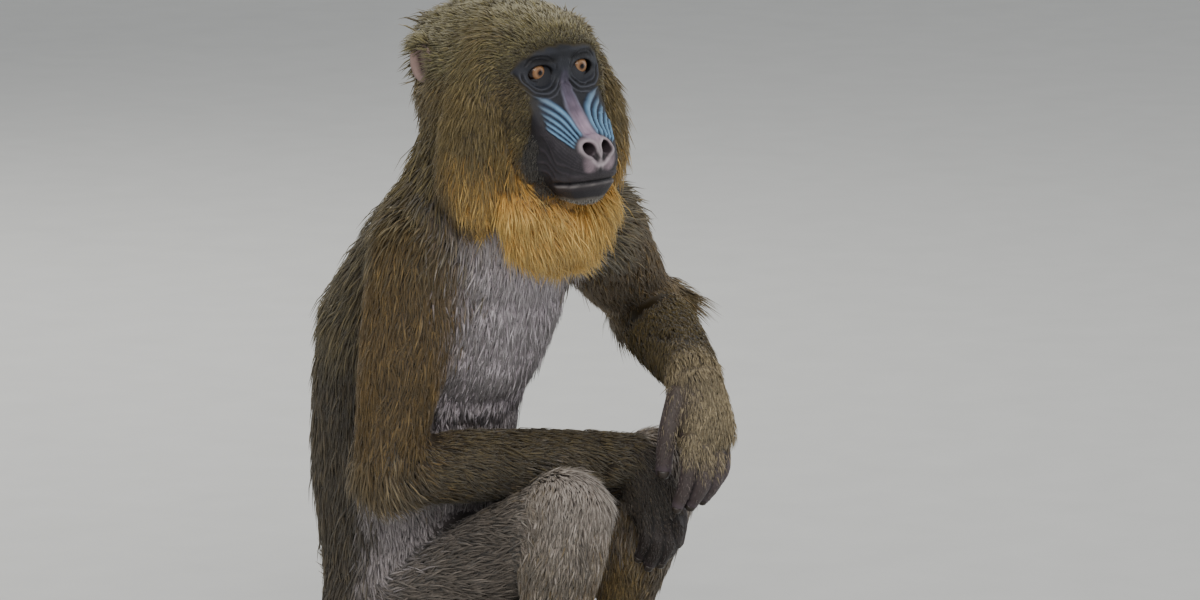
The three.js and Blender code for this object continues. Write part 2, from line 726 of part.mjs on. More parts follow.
let face = head(headCoat());
for (const [side, sign] of SIDES) {
  const { block, cup } = ear(sign);
  face = face.subtract(block);
  add(`ear_${side}`, cup, COAT.ear);
  add(`eye_${side}`, ball(sign, EYE.radius), COAT.eye);
}
add("head", face, COAT.face);
add("beard", beardAll(0).subtract(headClear).subtract(bodyClear), COAT.orange);
const neck = above(body, NAPE).add(coat(trunkAt, NAPE_COAT));
add("neck", neck.subtract(headClear).subtract(beardAll(GAP)), COAT.olive);
const chest = below(above(body, RIBS), NAPE).add(coat(trunkAt, MANTLE_COAT));
const chestCuts = join(above(bodyClear, NAPE), napeClear, headClear);
add("chest", chest.subtract(chestCuts), COAT.grey);
add("belly", below(above(body, WAIST), RIBS).subtract(mantleClear), COAT.pale);
add("rump", below(body, WAIST), COAT.grey);
add("tail", tail.solid().subtract(bodyClear), COAT.grey);

for (const [side] of SIDES) {
  const { upper, lower } = legs[side];
  add(`thigh_${side}`, onFloor(upper.solid()).subtract(bodyClear), COAT.grey);
  add(`shin_${side}`, lower.solid().subtract(upper.solid(GAP)).subtract(footOf(side, GAP)), COAT.olive);
  add(`foot_${side}`, footOf(side, 0), COAT.hand);
}
const legCuts = join(SIDES.flatMap(([s]) => [legs[s].upper.solid(GAP), legs[s].lower.solid(GAP)]));
const bodyCuts = join(trunkClear, headClear);
for (const [side] of SIDES) {
  const { upper, lower } = arms[side];
  const elbow = side === "left" ? coat(armAt(upper), ELBOW_COAT) : [];
  const hairy = join(upper.solid(), coat(armAt(upper), ARM_COAT[side]), elbow);
  add(`upper_arm_${side}`, hairy.subtract(bodyCuts).subtract(lower.solid(GAP)), COAT.olive);
  add(`forearm_${side}`, lower.solid().subtract(bodyClear).subtract(legCuts), COAT.gold);
  const hand = handOf(side === "right" ? HAND_RIGHT : HAND_LEFT, JOINT[`wrist_${side}`], [-0.7, -0.7, 0], 0);
  add(`hand_${side}`, hand.subtract(lower.solid(GAP)), COAT.hand);
}

export default animal;
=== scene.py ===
# %% [markdown]
# # A sitting female mandrill, life size
# The solids give this animal its pose, its outline and its weight. This file dresses them: one
# continuous skin under the whole body, eyes, nails, and a coat of many thousand thin tufts of hair that
# lie the way a mandrill's coat lies. Everything is in the solids' own frame, so a tuft, an eye or a nail
# is placed by the same named sizes that shaped them.

# %% Load the frame
import math

import bpy
import numpy as np
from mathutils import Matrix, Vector


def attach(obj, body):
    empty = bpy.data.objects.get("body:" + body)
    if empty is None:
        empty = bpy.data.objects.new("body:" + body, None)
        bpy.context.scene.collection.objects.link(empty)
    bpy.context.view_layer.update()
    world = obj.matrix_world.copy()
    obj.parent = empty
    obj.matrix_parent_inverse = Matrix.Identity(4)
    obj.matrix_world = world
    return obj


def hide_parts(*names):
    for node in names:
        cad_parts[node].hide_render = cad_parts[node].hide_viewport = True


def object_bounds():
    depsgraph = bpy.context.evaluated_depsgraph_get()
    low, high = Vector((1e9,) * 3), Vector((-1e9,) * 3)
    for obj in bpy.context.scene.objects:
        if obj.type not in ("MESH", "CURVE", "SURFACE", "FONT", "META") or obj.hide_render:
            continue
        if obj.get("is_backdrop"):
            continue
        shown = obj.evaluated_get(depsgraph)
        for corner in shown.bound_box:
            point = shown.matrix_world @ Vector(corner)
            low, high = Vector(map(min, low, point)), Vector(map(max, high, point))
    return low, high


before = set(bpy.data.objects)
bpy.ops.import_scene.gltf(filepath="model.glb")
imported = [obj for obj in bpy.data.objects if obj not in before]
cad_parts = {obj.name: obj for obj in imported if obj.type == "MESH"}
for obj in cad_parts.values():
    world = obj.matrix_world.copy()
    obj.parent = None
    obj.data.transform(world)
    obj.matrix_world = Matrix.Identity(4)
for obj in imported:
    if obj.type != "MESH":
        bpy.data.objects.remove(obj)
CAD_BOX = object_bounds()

MM = 0.001
print("nodes:", len(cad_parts), "box:", [round(v, 3) for corner in CAD_BOX for v in corner])

# %% [markdown]
# ## Camera, light and floor
# The photograph looks down a little, from the animal's right front, through a long lens, so the body
# shows almost without perspective. The camera stands far back with a long lens and is placed first,
# because everything else is judged through it. The light is a plain studio's: a broad soft key from the
# front left, a weaker fill, a low rim light behind for the edge of the coat, and a pale floor.

# %% Camera
AZIMUTH, ELEVATION = math.radians(-45), math.radians(10)
# the point at the middle of the picture, in front of the chest
TARGET = Vector((0.0969, -0.0969, 0.3104))
DISTANCE = 5.0
# the lens and the width of the film behind it, in millimetres
LENS, SENSOR = 210.0, 36.0
scene = bpy.context.scene

camera_data = bpy.data.cameras.new("camera")
camera_data.lens = LENS
camera_data.sensor_width = SENSOR
camera_data.sensor_fit = "HORIZONTAL"
camera = bpy.data.objects.new("camera", camera_data)
scene.collection.objects.link(camera)
away = Vector((math.sin(AZIMUTH), -math.cos(AZIMUTH), math.tan(ELEVATION))).normalized()
camera.location = TARGET + away * DISTANCE
camera.rotation_euler = (-away).to_track_quat("-Z", "Y").to_euler()
scene.camera = camera
print("camera at", [round(v, 3) for v in camera.location])


# %% Lights and floor
# the soft boxes look at the middle of the animal
LIT = Vector((0, -0.08, 0.28))
SKY, SKY_STRENGTH = (0.86, 0.88, 0.9, 1), 0.62
# the floor reaches past what any view shows
REACH = 20.0


def area_light(name, place, size, watts, tint):
    """A square soft box."""
    data = bpy.data.lights.new(name, "AREA")
    data.shape = "SQUARE"
    data.size = size
    data.energy = watts
    data.color = tint
    lamp = bpy.data.objects.new(name, data)
    lamp.location = place
    lamp.rotation_euler = (LIT - Vector(place)).to_track_quat("-Z", "Y").to_euler()
    scene.collection.objects.link(lamp)


area_light("key", (-1.5, -1.9, 2.0), 1.4, 34, (1.0, 0.97, 0.93))
area_light("fill", (2.1, -1.5, 1.0), 1.8, 15, (0.93, 0.96, 1.0))
area_light("rim", (0.7, 2.0, 1.9), 1.2, 36, (1.0, 0.98, 0.94))
world = bpy.data.worlds.new("studio")
world.use_nodes = True
sky = world.node_tree.nodes["Background"].inputs
sky["Color"].default_value = SKY
sky["Strength"].default_value = SKY_STRENGTH
scene.world = world

floor_mesh = bpy.data.meshes.new("floor")
floor_mesh.from_pydata(
    [(-REACH, -REACH, 0), (REACH, -REACH, 0), (REACH, REACH, 0), (-REACH, REACH, 0)], [], [(0, 1, 2, 3)]
)
floor = bpy.data.objects.new("floor", floor_mesh)
scene.collection.objects.link(floor)
floor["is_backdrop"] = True
print("lights:", len(bpy.data.lights), "floor:", 2 * REACH, "m wide")

# %% [markdown]
# ## The skeleton's joints and the girths
# These are the named sizes that shape the solids, repeated here in millimetres, so that the skin lies
# inside them by the depth of the coat and the coat's tips end at their surface. The skin could be read
# off the solids' meshes instead, but their facets are coarser than folds and lids need.

# %% Named sizes
JOINT = {
    "hip_right": (-42, -2, 78), "hip_left": (46, 0, 80),
    "knee_right": (4, -160, 185), "knee_left": (131, -124, 192),
    "ankle_right": (-45, -178, 30), "ankle_left": (81, -117, 32),
    "shoulder_right": (-66, -84, 364), "shoulder_left": (77, -108, 369),
    "elbow_right": (-88, -70, 209), "elbow_left": (203, -37, 285),
    "wrist_right": (86, -145, 205), "wrist_left": (93, -194, 271),
}
# x, y, z, half-width, front, back
TRUNK = [
    (0, 8, -16, 44, 34, 38), (0, 5, 10, 56, 42, 44), (0, 2, 42, 66, 46, 48), (0, -1, 84, 69, 52, 53),
    (0, -4, 132, 74, 64, 68), (0, -6, 190, 78, 74, 80), (0, -9, 240, 79, 78, 81), (-1, -21, 290, 82, 86, 78),
    (-2, -48, 330, 81, 88, 74), (-3, -70, 364, 77, 78, 68), (-5, -86, 398, 70, 68, 58),
    (-8, -93, 432, 60, 52, 52), (-11, -96, 470, 44, 40, 44),
]
BEARD = [
    (-18, -150, 436, 40, 20, 22), (-15, -160, 416, 54, 30, 30), (-11, -166, 390, 52, 31, 30),
    (-8, -170, 378, 42, 23, 24), (-6, -170, 369, 24, 13, 14),
]
TAIL = [(2, 50, 78, 13, 13, 13), (2, 68, 92, 11, 11, 11), (2, 80, 112, 10, 10, 10), (3, 84, 132, 8, 8, 8)]
# share of the bone's length, half-width, front, back
UPPER_ARM = [(0, 36, 38, 38), (0.3, 37, 35, 37), (0.65, 32, 31, 34), (1, 24, 24, 25)]
FOREARM = [(0, 25, 26, 25), (0.28, 29, 29, 28), (0.65, 27, 26, 27), (1, 21, 20, 21)]
THIGH = [(0, 34, 36, 40), (0.3, 40, 38, 57), (0.65, 37, 34, 50), (1, 27, 27, 28)]
SHIN = [(0, 30, 33, 28), (0.22, 32, 34, 33), (0.5, 25, 24, 29), (0.75, 20, 19, 23), (1, 17, 17, 19)]
# knuckle, middle joint, tip, half-thickness at the knuckle and at the tip
HANDS = {
    "left": {
        "index": ((82, -203, 226), (75, -206, 200), (76, -195, 177), 7.6, 5.6),
        "middle": ((90, -208, 219), (84, -213, 197), (86, -199, 178), 7.8, 5.8),
        "ring": ((99, -210, 218), (94, -215, 197), (96, -201, 181), 7.4, 5.6),
        "little": ((108, -208, 221), (104, -213, 203), (105, -201, 187), 6.8, 5.2),
        "thumb": ((77, -194, 258), (67, -194, 232), (69, -188, 203), 8.6, 7),
    },
    "right": {
        "little": ((82, -156, 166), (76, -164, 150), (77, -156, 135), 6.8, 5.2),
        "ring": ((89, -159, 163), (82, -169, 146), (82, -161, 129), 7.4, 5.6),
        "middle": ((96, -162, 161), (89, -172, 145), (90, -165, 131), 7.8, 5.8),
        "index": ((103, -164, 163), (97, -173, 150), (98, -166, 137), 7.6, 5.6),
        "thumb": ((98, -153, 184), (107, -165, 164), (105, -166, 144), 8.6, 7),
    },
}
HAND_FACING = (-0.7, -0.7, 0)
# forward, outward, height, half-width, up, down
FOOT = [(-24, 0, 13, 15, 13, 15), (-6, 0, 20, 19, 20, 22), (22, 1, 18, 20, 18, 20), (52, 3, 13, 23, 13, 15),
        (78, 4, 9.5, 27, 10, 11.5)]
# forward and outward at the root, forward and outward at the tip, half-thickness
TOES = {"big": (40, -16, 84, -44, 9.5), "second": (78, -15, 124, -22, 7.6), "third": (80, -3, 132, -4, 7.8),
        "fourth": (79, 9, 127, 13, 7.4), "fifth": (76, 20, 114, 29, 6.8)}
HEAD_AT, HEAD_YAW, HEAD_ROLL = (-26.9, -181, 503.5), 170, 3
# forward, height, pitch down in degrees, half-width, top, bottom
SKULL = [
    (-122, -6, 0, 30, 22, 30), (-108, -6, 0, 44, 34, 44), (-86, -7, 0, 52, 39, 50), (-60, -9, 4, 51, 41, 52),
    (-34, -13, 10, 46, 40, 54), (-12, -20, 20, 38.5, 35, 50), (4, -32, 30, 31.5, 11.5, 50),
    (17, -48, 32, 28, 10, 45), (28, -62, 28, 24, 14, 37), (36, -69, 20, 19, 16, 29),
]
NAPE_BULGE, MUZZLE_BULGE = 11, 8
# the skull's cross-sections: 2 is an ellipse, more is squarer; and how much squarer the nose end is
SQUARE, SQUARER = 2.1, 0.5
RUFF = [(34, -36, 12, 11, 10, 14), (42, -34, -14, 20, 17, 22), (49, -35, -44, 26, 22, 30),
        (49, -40, -78, 27, 24, 30), (43, -46, -104, 17, 16, 20)]
EYE = {"across": 17.6, "forward": -9.6, "up": -5.6, "radius": 11}
print("joints:", len(JOINT), "rows of the trunk:", len(TRUNK), "rows of the skull:", len(SKULL))


# %% [markdown]
# ## Limbs as smooth bodies
# A limb is a centre line with a width, a front and a back at each station. For any point in space it
# tells how far the point is from the limb's surface, so several limbs can be blended into one skin the
# way flesh runs together at a shoulder or a groin, and it tells which way the coat lies there. Metaballs
# would blend as softly, but they know neither a girth in three directions nor the way of the hair.

# %% Rows and rays
def unit(v):
    v = np.asarray(v, float)
    return v / np.maximum(np.linalg.norm(v, axis=-1, keepdims=True), 1e-9)


def smooth_rows(rows, share):
    """Mixes the rows smoothly: share 0 is the first row and share 1 the last."""
    rows = np.asarray(rows, float)
    place = np.clip(share, 0, 1) * (len(rows) - 1)
    i = np.minimum(place.astype(int), len(rows) - 2)
    s = (place - i)[:, None]
    p, a, b, q = (rows[np.clip(i + k, 0, len(rows) - 1)] for k in (-1, 0, 1, 2))
    return 0.5 * (2 * a + (b - p) * s + (2 * p - 5 * a + 4 * b - q) * s**2 + (3 * a - p - 3 * b + q) * s**3)


def radial(u, v, w, q):
    """Distance from a surface whose measure q is 1 on it, along the ray from the centre line."""
    q = np.maximum(q, 1e-3)
    return np.sqrt(u * u + v * v + w * w) * (1 - 1 / q)


middle_row = smooth_rows(TRUNK, np.array([0.5]))[0]
print("the trunk's middle row:", [round(v) for v in middle_row.tolist()])


# %% A limb
class Limb:
    """A body along a centre line of rows x, y, z, half-width, front, back, with rounded ends."""

    def __init__(self, rows, facing, domes, inset=0.0, stations=12):
        share = np.linspace(0, 1, stations)
        row = smooth_rows(rows, share)
        step = 0.02
        ahead = smooth_rows(rows, np.minimum(share + step, 1))[:, :3]
        behind = smooth_rows(rows, np.maximum(share - step, 0))[:, :3]
        self.way = unit(ahead - behind)
        self.side = unit(np.cross(self.way, facing))
        self.front = np.cross(self.side, self.way)
        self.centre = row[:, :3]
        self.girth = np.maximum(row[:, 3:] - inset, 2)
        self.domes = [max(d - inset, 2) for d in domes]
        reach = self.girth.max() + max(self.domes)
        self.low, self.high = self.centre.min(0) - reach, self.centre.max(0) + reach

    def locate(self, points):
        """Distance, share of the length, angle round the centre line, and lengthwise way at each point."""
        best = np.full(len(points), np.inf)
        place = np.zeros(len(points))
        for i, (a, b) in enumerate(zip(self.centre, self.centre[1:])):
            along = b - a
            f = np.clip((points - a) @ along / (along @ along), 0, 1)
            far = ((points - a - f[:, None] * along) ** 2).sum(1)
            nearer = far < best
            best[nearer] = far[nearer]
            place[nearer] = i + f[nearer]
        last = len(self.centre) - 1
        i = np.minimum(place.astype(int), last - 1)
        f = (place - i)[:, None]

        def pick(rows):
            return rows[i] * (1 - f) + rows[i + 1] * f

        offset = points - pick(self.centre)
        way = pick(self.way)
        u = (offset * pick(self.side)).sum(1)
        v = (offset * pick(self.front)).sum(1)
        w = (offset * way).sum(1)
        w = np.where(((place <= 0) & (w < 0)) | ((place >= last) & (w > 0)), w, 0)
        wide, front, back = pick(self.girth).T
        deep = np.where(v > 0, front, back)
        dome = np.where(w < 0, self.domes[0], self.domes[1])
        q = np.sqrt((u / wide) ** 2 + (v / deep) ** 2 + (w / dome) ** 2)
        return radial(u, v, w, q), place / last, np.arctan2(v / deep, u / wide), way

    def distance(self, points):
        return self.locate(points)[0]


# %% [markdown]
# ## The head's own frame
# The face turns to the animal's left and tilts a little. It is far easier to shape a face that looks
# straight ahead, so the head has its own frame, and two functions carry points into it and back.

# %% The head's frame
def turn_z(degrees):
    c, s = math.cos(math.radians(degrees)), math.sin(math.radians(degrees))
    return np.array([[c, -s, 0], [s, c, 0], [0, 0, 1]])


def turn_y(degrees):
    c, s = math.cos(math.radians(degrees)), math.sin(math.radians(degrees))
    return np.array([[c, 0, s], [0, 1, 0], [-s, 0, c]])


HEAD_TURN = turn_z(HEAD_YAW) @ turn_y(HEAD_ROLL)


def to_head(points):
    return (points - np.array(HEAD_AT)) @ HEAD_TURN


def from_head(points):
    return np.asarray(points, float) @ HEAD_TURN.T + np.array(HEAD_AT)


print("the face looks along", [round(v, 2) for v in HEAD_TURN[:, 1].tolist()])


# %% The skull
class Skull:
    """The head without its features, from tilted cross-sections, in the head's own frame."""

    def __init__(self, stations=36):
        self.rows = smooth_rows(SKULL, np.linspace(0, 1, stations))
        self.domes = (NAPE_BULGE, MUZZLE_BULGE)

    def locate(self, points):
        """Distance, share of the way from nape to nose, and angle: 0 its right side, 90 the top."""
        forward, height, pitch = self.rows[:, 0], self.rows[:, 1], np.radians(self.rows[:, 2])
        past = (points[:, 1:2] - forward) * np.cos(pitch) - (points[:, 2:3] - height) * np.sin(pitch)
        last = len(self.rows) - 1
        i = np.clip((past > 0).sum(1) - 1, 0, last - 1)
        n = np.arange(len(points))
        gap = past[n, i] - past[n, i + 1]
        f = np.clip(past[n, i] / np.where(gap == 0, 1, gap), 0, 1)
        row = self.rows[i] * (1 - f[:, None]) + self.rows[i + 1] * f[:, None]
        tilt = np.radians(row[:, 2])
        u = points[:, 0]
        v = (points[:, 1] - row[:, 0]) * np.sin(tilt) + (points[:, 2] - row[:, 1]) * np.cos(tilt)
        share = (i + f) / last
        w = np.where((share <= 0) | (share >= 1), np.where(share <= 0, past[:, 0], past[:, -1]), 0)
        square = SQUARE + SQUARER * share
        deep = np.where(v > 0, row[:, 4], row[:, 5])
        across, up = np.abs(u / row[:, 3]) ** square, np.abs(v / deep) ** square
        dome = np.where(share <= 0, *self.domes)
        q = np.sqrt((across + up) ** (2 / square) + (w / dome) ** 2)
        angle = np.arctan2(np.sign(v) * np.sqrt(up), np.sign(u) * np.sqrt(across))
        return radial(u, v, w, q), share, np.degrees(angle)


# %% [markdown]
# ## The body's parts
# The same parts as in the solids, each made slimmer by the coat that covers it: about 7 mm on limbs,
# more on the back, almost nothing on the hands and feet, which are bare or thinly haired.

# %% Build the limbs
# how deep the coat lies over each part
COAT = {
    "trunk": 9.0, "seat": 3.0, "ruff": 5.0, "beard": 8.0, "tail": 3.0, "upper_arm": 7.0, "forearm": 6.0,
    "thigh": 7.0, "shin": 5.0, "palm": 1.0, "finger": 1.2, "sole": 1.0, "toe": 0.4,
}
# how much of a digit's taper is done at its middle joint
MIDDLE_TAPER = 0.4
# the flesh beside the outer knuckles; how far each foot turns out, in degrees
BESIDE_KNUCKLES, TURNED_OUT = 7, {"right": 13, "left": 8}
# a toe: how high its middle joint is lifted, the height of its tip and its taper, as shares of its radius
TOE_ARCH, TOE_TIP, TOE_TAPER = 2.5, 0.8, 0.82
# the arm's root in the trunk, inward, back and up from the shoulder, and its girth
ARM_ROOT, ARM_ROOT_GIRTH = (26, 6, 2), (38, 38, 38)
# the seat: below this height the coat gets thinner, over this way down
SEAT_TOP, SEAT_WAY = 130, 90


def bone(name_a, name_b, girths):
    a, b = (np.array(JOINT[n], float) for n in (name_a, name_b))
    return [(*(a + (b - a) * share), *girth) for share, *girth in girths]


def digit(points, root, tip, facing, inset=0.0):
    radii = (root, root + (tip - root) * MIDDLE_TAPER, tip)
    rows = [(*p, r, r, r) for p, r in zip(points, radii)]
    return Limb(rows, facing, (root, tip), inset, stations=8)


def hand_parts(side):
    digits, wrist = HANDS[side], np.array(JOINT[f"wrist_{side}"], float)
    index, little = (np.array(digits[n][0], float) for n in ("index", "little"))
    knuckles = (index + little) / 2
    half = np.linalg.norm(index - little) / 2 + BESIDE_KNUCKLES
    # half-width, and half-thickness to the back and to the palm, from the wrist to the knuckles
    rows = [
        (*wrist, 18, 15, 15),
        (*(wrist + (knuckles - wrist) * 0.45), half, 14, 14),
        (*(wrist + (knuckles - wrist) * 0.8), half + 1, 12, 12),
        (*knuckles, half, 9, 9),
    ]
    parts = {f"palm_{side}": Limb(rows, HAND_FACING, (6, 6), COAT["palm"], stations=8)}
    for name, (a, b, c, root, tip) in digits.items():
        parts[f"{name}_{side}"] = digit((a, b, c), root, tip, HAND_FACING, COAT["finger"])
    return parts


def foot_place(side, forward, outward, height):
    x, y, _ = JOINT[f"ankle_{side}"]
    sign = -1 if side == "right" else 1
    turn = math.radians(TURNED_OUT[side])
    ahead = (sign * math.sin(turn), -math.cos(turn))
    out = (sign * math.cos(turn), math.sin(turn))
    return x + ahead[0] * forward + out[0] * outward, y + ahead[1] * forward + out[1] * outward, height


def foot_parts(side):
    rows = [(*foot_place(side, f, o, z), *girth) for f, o, z, *girth in FOOT]
    parts = {f"sole_{side}": Limb(rows, (0, 0, 1), (8, 12), COAT["sole"], stations=10)}
    for name, (f0, o0, f1, o1, r) in TOES.items():
        points = (
            foot_place(side, f0, o0, r),
            foot_place(side, (f0 + f1) / 2, (o0 + o1) / 2, r + TOE_ARCH),
            foot_place(side, f1, o1, r * TOE_TIP),
        )
        parts[f"toe_{name}_{side}"] = digit(points, r, r * TOE_TAPER, (0, 0, 1), COAT["toe"])
    return parts


# the coat is thin on the seat, where the flesh is pressed broad by the ground
thinner = COAT["trunk"] - COAT["seat"]
fuller = [thinner * min(max((SEAT_TOP - z) / SEAT_WAY, 0), 1) for _, _, z, *_ in TRUNK]
trunk_rows = [(*row[:3], *(girth + extra for girth in row[3:])) for row, extra in zip(TRUNK, fuller)]
parts = {"trunk": Limb(trunk_rows, (0, -1, 0), (2, 20), COAT["trunk"], stations=18)}
for side, inward in (("right", 1), ("left", -1)):
    s = JOINT[f"shoulder_{side}"]
    root = (s[0] + ARM_ROOT[0] * inward, s[1] + ARM_ROOT[1], s[2] + ARM_ROOT[2], *ARM_ROOT_GIRTH)
    arm = [root, *bone(f"shoulder_{side}", f"elbow_{side}", UPPER_ARM)]
    parts[f"upper_arm_{side}"] = Limb(arm, (0, -1, 0.01), (16, 22), COAT["upper_arm"])
    forearm = bone(f"elbow_{side}", f"wrist_{side}", FOREARM)
    parts[f"forearm_{side}"] = Limb(forearm, (0, 0, 1), (20, 12), COAT["forearm"])
    thigh = bone(f"hip_{side}", f"knee_{side}", THIGH)
    parts[f"thigh_{side}"] = Limb(thigh, (0, 0, 1), (26, 22), COAT["thigh"])
    shin = bone(f"knee_{side}", f"ankle_{side}", SHIN)
    parts[f"shin_{side}"] = Limb(shin, (0, -1, 0), (20, 8), COAT["shin"])
    parts.update(hand_parts(side))
    parts.update(foot_parts(side))
    ruff = [(*from_head((inward * x, y, z)), *girth) for x, y, z, *girth in RUFF]
    parts[f"ruff_{side}"] = Limb(ruff, HEAD_TURN @ np.array((inward, 0, 0.01)), (8, 8), COAT["ruff"])
parts["beard"] = Limb(BEARD, (0, -1, 0.01), (6, 8), COAT["beard"])
parts["tail"] = Limb(TAIL, (0, 1, 0.01), (4, 8), COAT["tail"])
skull = Skull()
print(len(parts), "parts")

# %% [markdown]
# ## One skin over everything
# The skin is where the blended distance to all parts is zero. It is read off a grid of cells: every cell
# that the surface passes gets one point at the mean of its crossings, and neighbouring points are joined
# by a four-sided face, which gives an even mesh that follows folds well. Joining the solids with a remesh
# modifier would be quicker to write, but it couldn't tell which part a point belongs to. The body, which
# the coat covers, needs cells of about 4 mm, head, hands and feet half of that, the bare face below 1 mm.

# %% Grids of distances
# the distance from a part that is out of reach, and how many coarse cells from the surface are refined
FAR, NEAR = 30.0, 1.2
CORNERS = [(i, j, k) for i in (0, 1) for j in (0, 1) for k in (0, 1)]


def smooth_min(a, b, k):
    h = np.maximum(k - np.abs(a - b), 0) / k
    return np.minimum(a, b) - h * h * k / 4


def smooth_max(a, b, k):
    return -smooth_min(-a, -b, k)


class Grid:
    """Distances on a block of cells: coarse everywhere, and fine only near the surface."""

    def __init__(self, field, low, high, step, skip):
        self.low, self.step = np.asarray(low, float), step
        wide = step * skip
        cells = np.ceil((np.asarray(high, float) - self.low) / wide).astype(int)
        axes = [self.low[k] + wide * np.arange(cells[k] + 1) for k in range(3)]
        coarse = field(np.stack(np.meshgrid(*axes, indexing="ij"), -1).reshape(-1, 3)).reshape(cells + 1)
        nearest = np.ix_(*[(np.arange(n * skip + 1) + skip // 2) // skip for n in cells])
        near = (np.abs(coarse) < wide * NEAR)[nearest]
        self.values = coarse[nearest].astype(np.float32)
        self.values[near] = field(self.low + step * np.argwhere(near))


# %% Read a surface off a grid
def read_surface(grid):
    """Points and four-sided faces of the surface where the grid's values pass zero."""
    v = grid.values
    inside = v < 0
    nx, ny, nz = (n - 1 for n in v.shape)
    count = np.zeros((nx, ny, nz), np.int8)
    for i, j, k in CORNERS:
        count += inside[i : nx + i, j : ny + j, k : nz + k]
    cells = np.argwhere((count > 0) & (count < 8))
    number = np.full((nx, ny, nz), -1, np.int32)
    number[tuple(cells.T)] = np.arange(len(cells))
    total, crossings = np.zeros((len(cells), 3)), np.zeros(len(cells))
    for a in CORNERS:
        for axis in range(3):
            if a[axis]:
                continue
            b = tuple(c + (n == axis) for n, c in enumerate(a))
            va, vb = (v[tuple((cells + corner).T)] for corner in (a, b))
            crossed = (va < 0) != (vb < 0)
            place = np.tile(np.array(a, float), (len(cells), 1))
            place[:, axis] += np.where(crossed, va / np.where(va == vb, 1, va - vb), 0)
            total[crossed] += place[crossed]
            crossings += crossed
    points = grid.low + grid.step * (cells + total / crossings[:, None])
    faces = []
    for axis in range(3):
        one, two = [k for k in range(3) if k != axis]
        lower = [slice(None)] * 3
        upper = [slice(None)] * 3
        lower[axis], upper[axis] = slice(None, -1), slice(1, None)
        edges = np.argwhere(inside[tuple(lower)] != inside[tuple(upper)])
        keep = (edges[:, one] > 0) & (edges[:, two] > 0)
        keep &= (edges[:, one] < v.shape[one] - 1) & (edges[:, two] < v.shape[two] - 1)
        edges = edges[keep]
        ring = []
        for d1, d2 in ((1, 1), (0, 1), (0, 0), (1, 0)):
            cell = edges.copy()
            cell[:, one] -= d1
            cell[:, two] -= d2
            ring.append(number[tuple(cell.T)])
        quads = np.stack(ring, 1)
        # with the lower end inside, the face looks along the axis
        flip = inside[tuple(edges.T)] == (axis == 1)
        quads[flip] = quads[flip][:, ::-1]
        faces.append(quads)
    return points, np.concatenate(faces)


trial = Grid(lambda p: np.linalg.norm(p, axis=1) - 10, (-14, -14, -14), (14, 14, 14), 2.0, 2)
print("a trial ball of radius 10 in cells of 2:", len(read_surface(trial)[1]), "faces")


# %% Even the mesh
def relax(points, faces, rounds, share=0.5):
    """Evens the mesh by moving each point part of the way to the mean of its neighbours."""
    a = np.concatenate([faces[:, k] for k in range(4)])
    b = np.concatenate([faces[:, (k + 1) % 4] for k in range(4)])
    number = np.bincount(a, minlength=len(points)) + np.bincount(b, minlength=len(points))
    for _ in range(rounds):
        ahead = np.stack([np.bincount(a, points[b, k], len(points)) for k in range(3)], 1)
        mean = ahead + np.stack([np.bincount(b, points[a, k], len(points)) for k in range(3)], 1)
        points = points + share * (mean / np.maximum(number, 1)[:, None] - points)
    return points


# %% Smooth noise and fades
# large odd numbers that stir the number of a cell until it looks random
STIR = (374761393, 668265263, 1440662683)
STIR_SEED, STIR_AGAIN = 69069, 1274126177


def noise(points, size, seed=0):
    """Smooth random values from -1 to 1 that change over about size millimetres."""
    q = np.asarray(points, float) / size
    cell = np.floor(q).astype(np.int64)
    f = q - cell
    f = f * f * (3 - 2 * f)
    total = np.zeros(len(q))
    for i, j, k in CORNERS:
        h = (cell[:, 0] + i) * STIR[0] + (cell[:, 1] + j) * STIR[1] + (cell[:, 2] + k) * STIR[2]
        h = (h + seed * STIR_SEED) & 0xFFFFFFFF
        h = ((h ^ (h >> 13)) * STIR_AGAIN) & 0xFFFFFFFF
        value = ((h ^ (h >> 16)) & 0xFFFF) / 32767.5 - 1
        weight = (f[:, 0] if i else 1 - f[:, 0]) * (f[:, 1] if j else 1 - f[:, 1])
        total += value * weight * (f[:, 2] if k else 1 - f[:, 2])
    return total


def fade(x, low, high):
    """0 below low, 1 above high, smooth between."""
    s = np.clip((x - low) / (high - low), 0, 1)
    return s * s * (3 - 2 * s)


steps = np.array([(x, 0, 0) for x in (0, 5, 10)])
print("noise of size 10 at 0, 5 and 10 mm:", noise(steps, 10).round(2).tolist())

# %% [markdown]
# ## The face
# A mandrill is known by its face: a long muzzle with a narrow bare bridge, five swollen ridges on each
# side of it that arch down to the nose, a flat nose whose nostrils taper to its middle, a heavy brow and
# round deep-set eyes with folds under them. A sculptor would push these into the mesh by hand. Here the
# features are added to the plain head as distances and small swellings, so each has a named place and
# size. They are the same on both sides, in the head's own frame (x to its right, y forward, z up, origin
# between the eyes).

# %% Sizes of the face
# the lid's thickness over the ball, the half-sizes of the gap between the lids, and where they are
LID = 1.9
OPENING = (8.7, 9.0, 5.4)
EYE_AT = (EYE["across"], EYE["forward"], EYE["up"])
SLOT_AT = (EYE["across"], 1.4, EYE["up"] - 0.5)
# the ridges: where the top and the bottom one start and end along the skull, and at which angles
RIDGES = 5
RIDGE_BACK, RIDGE_BACK_AT = (0.643, 0.750), (34, 28)
RIDGE_FRONT, RIDGE_FRONT_AT = (0.86, 0.925), (80, 50)
RIDGE_ARCH = (4.6, 2.2)
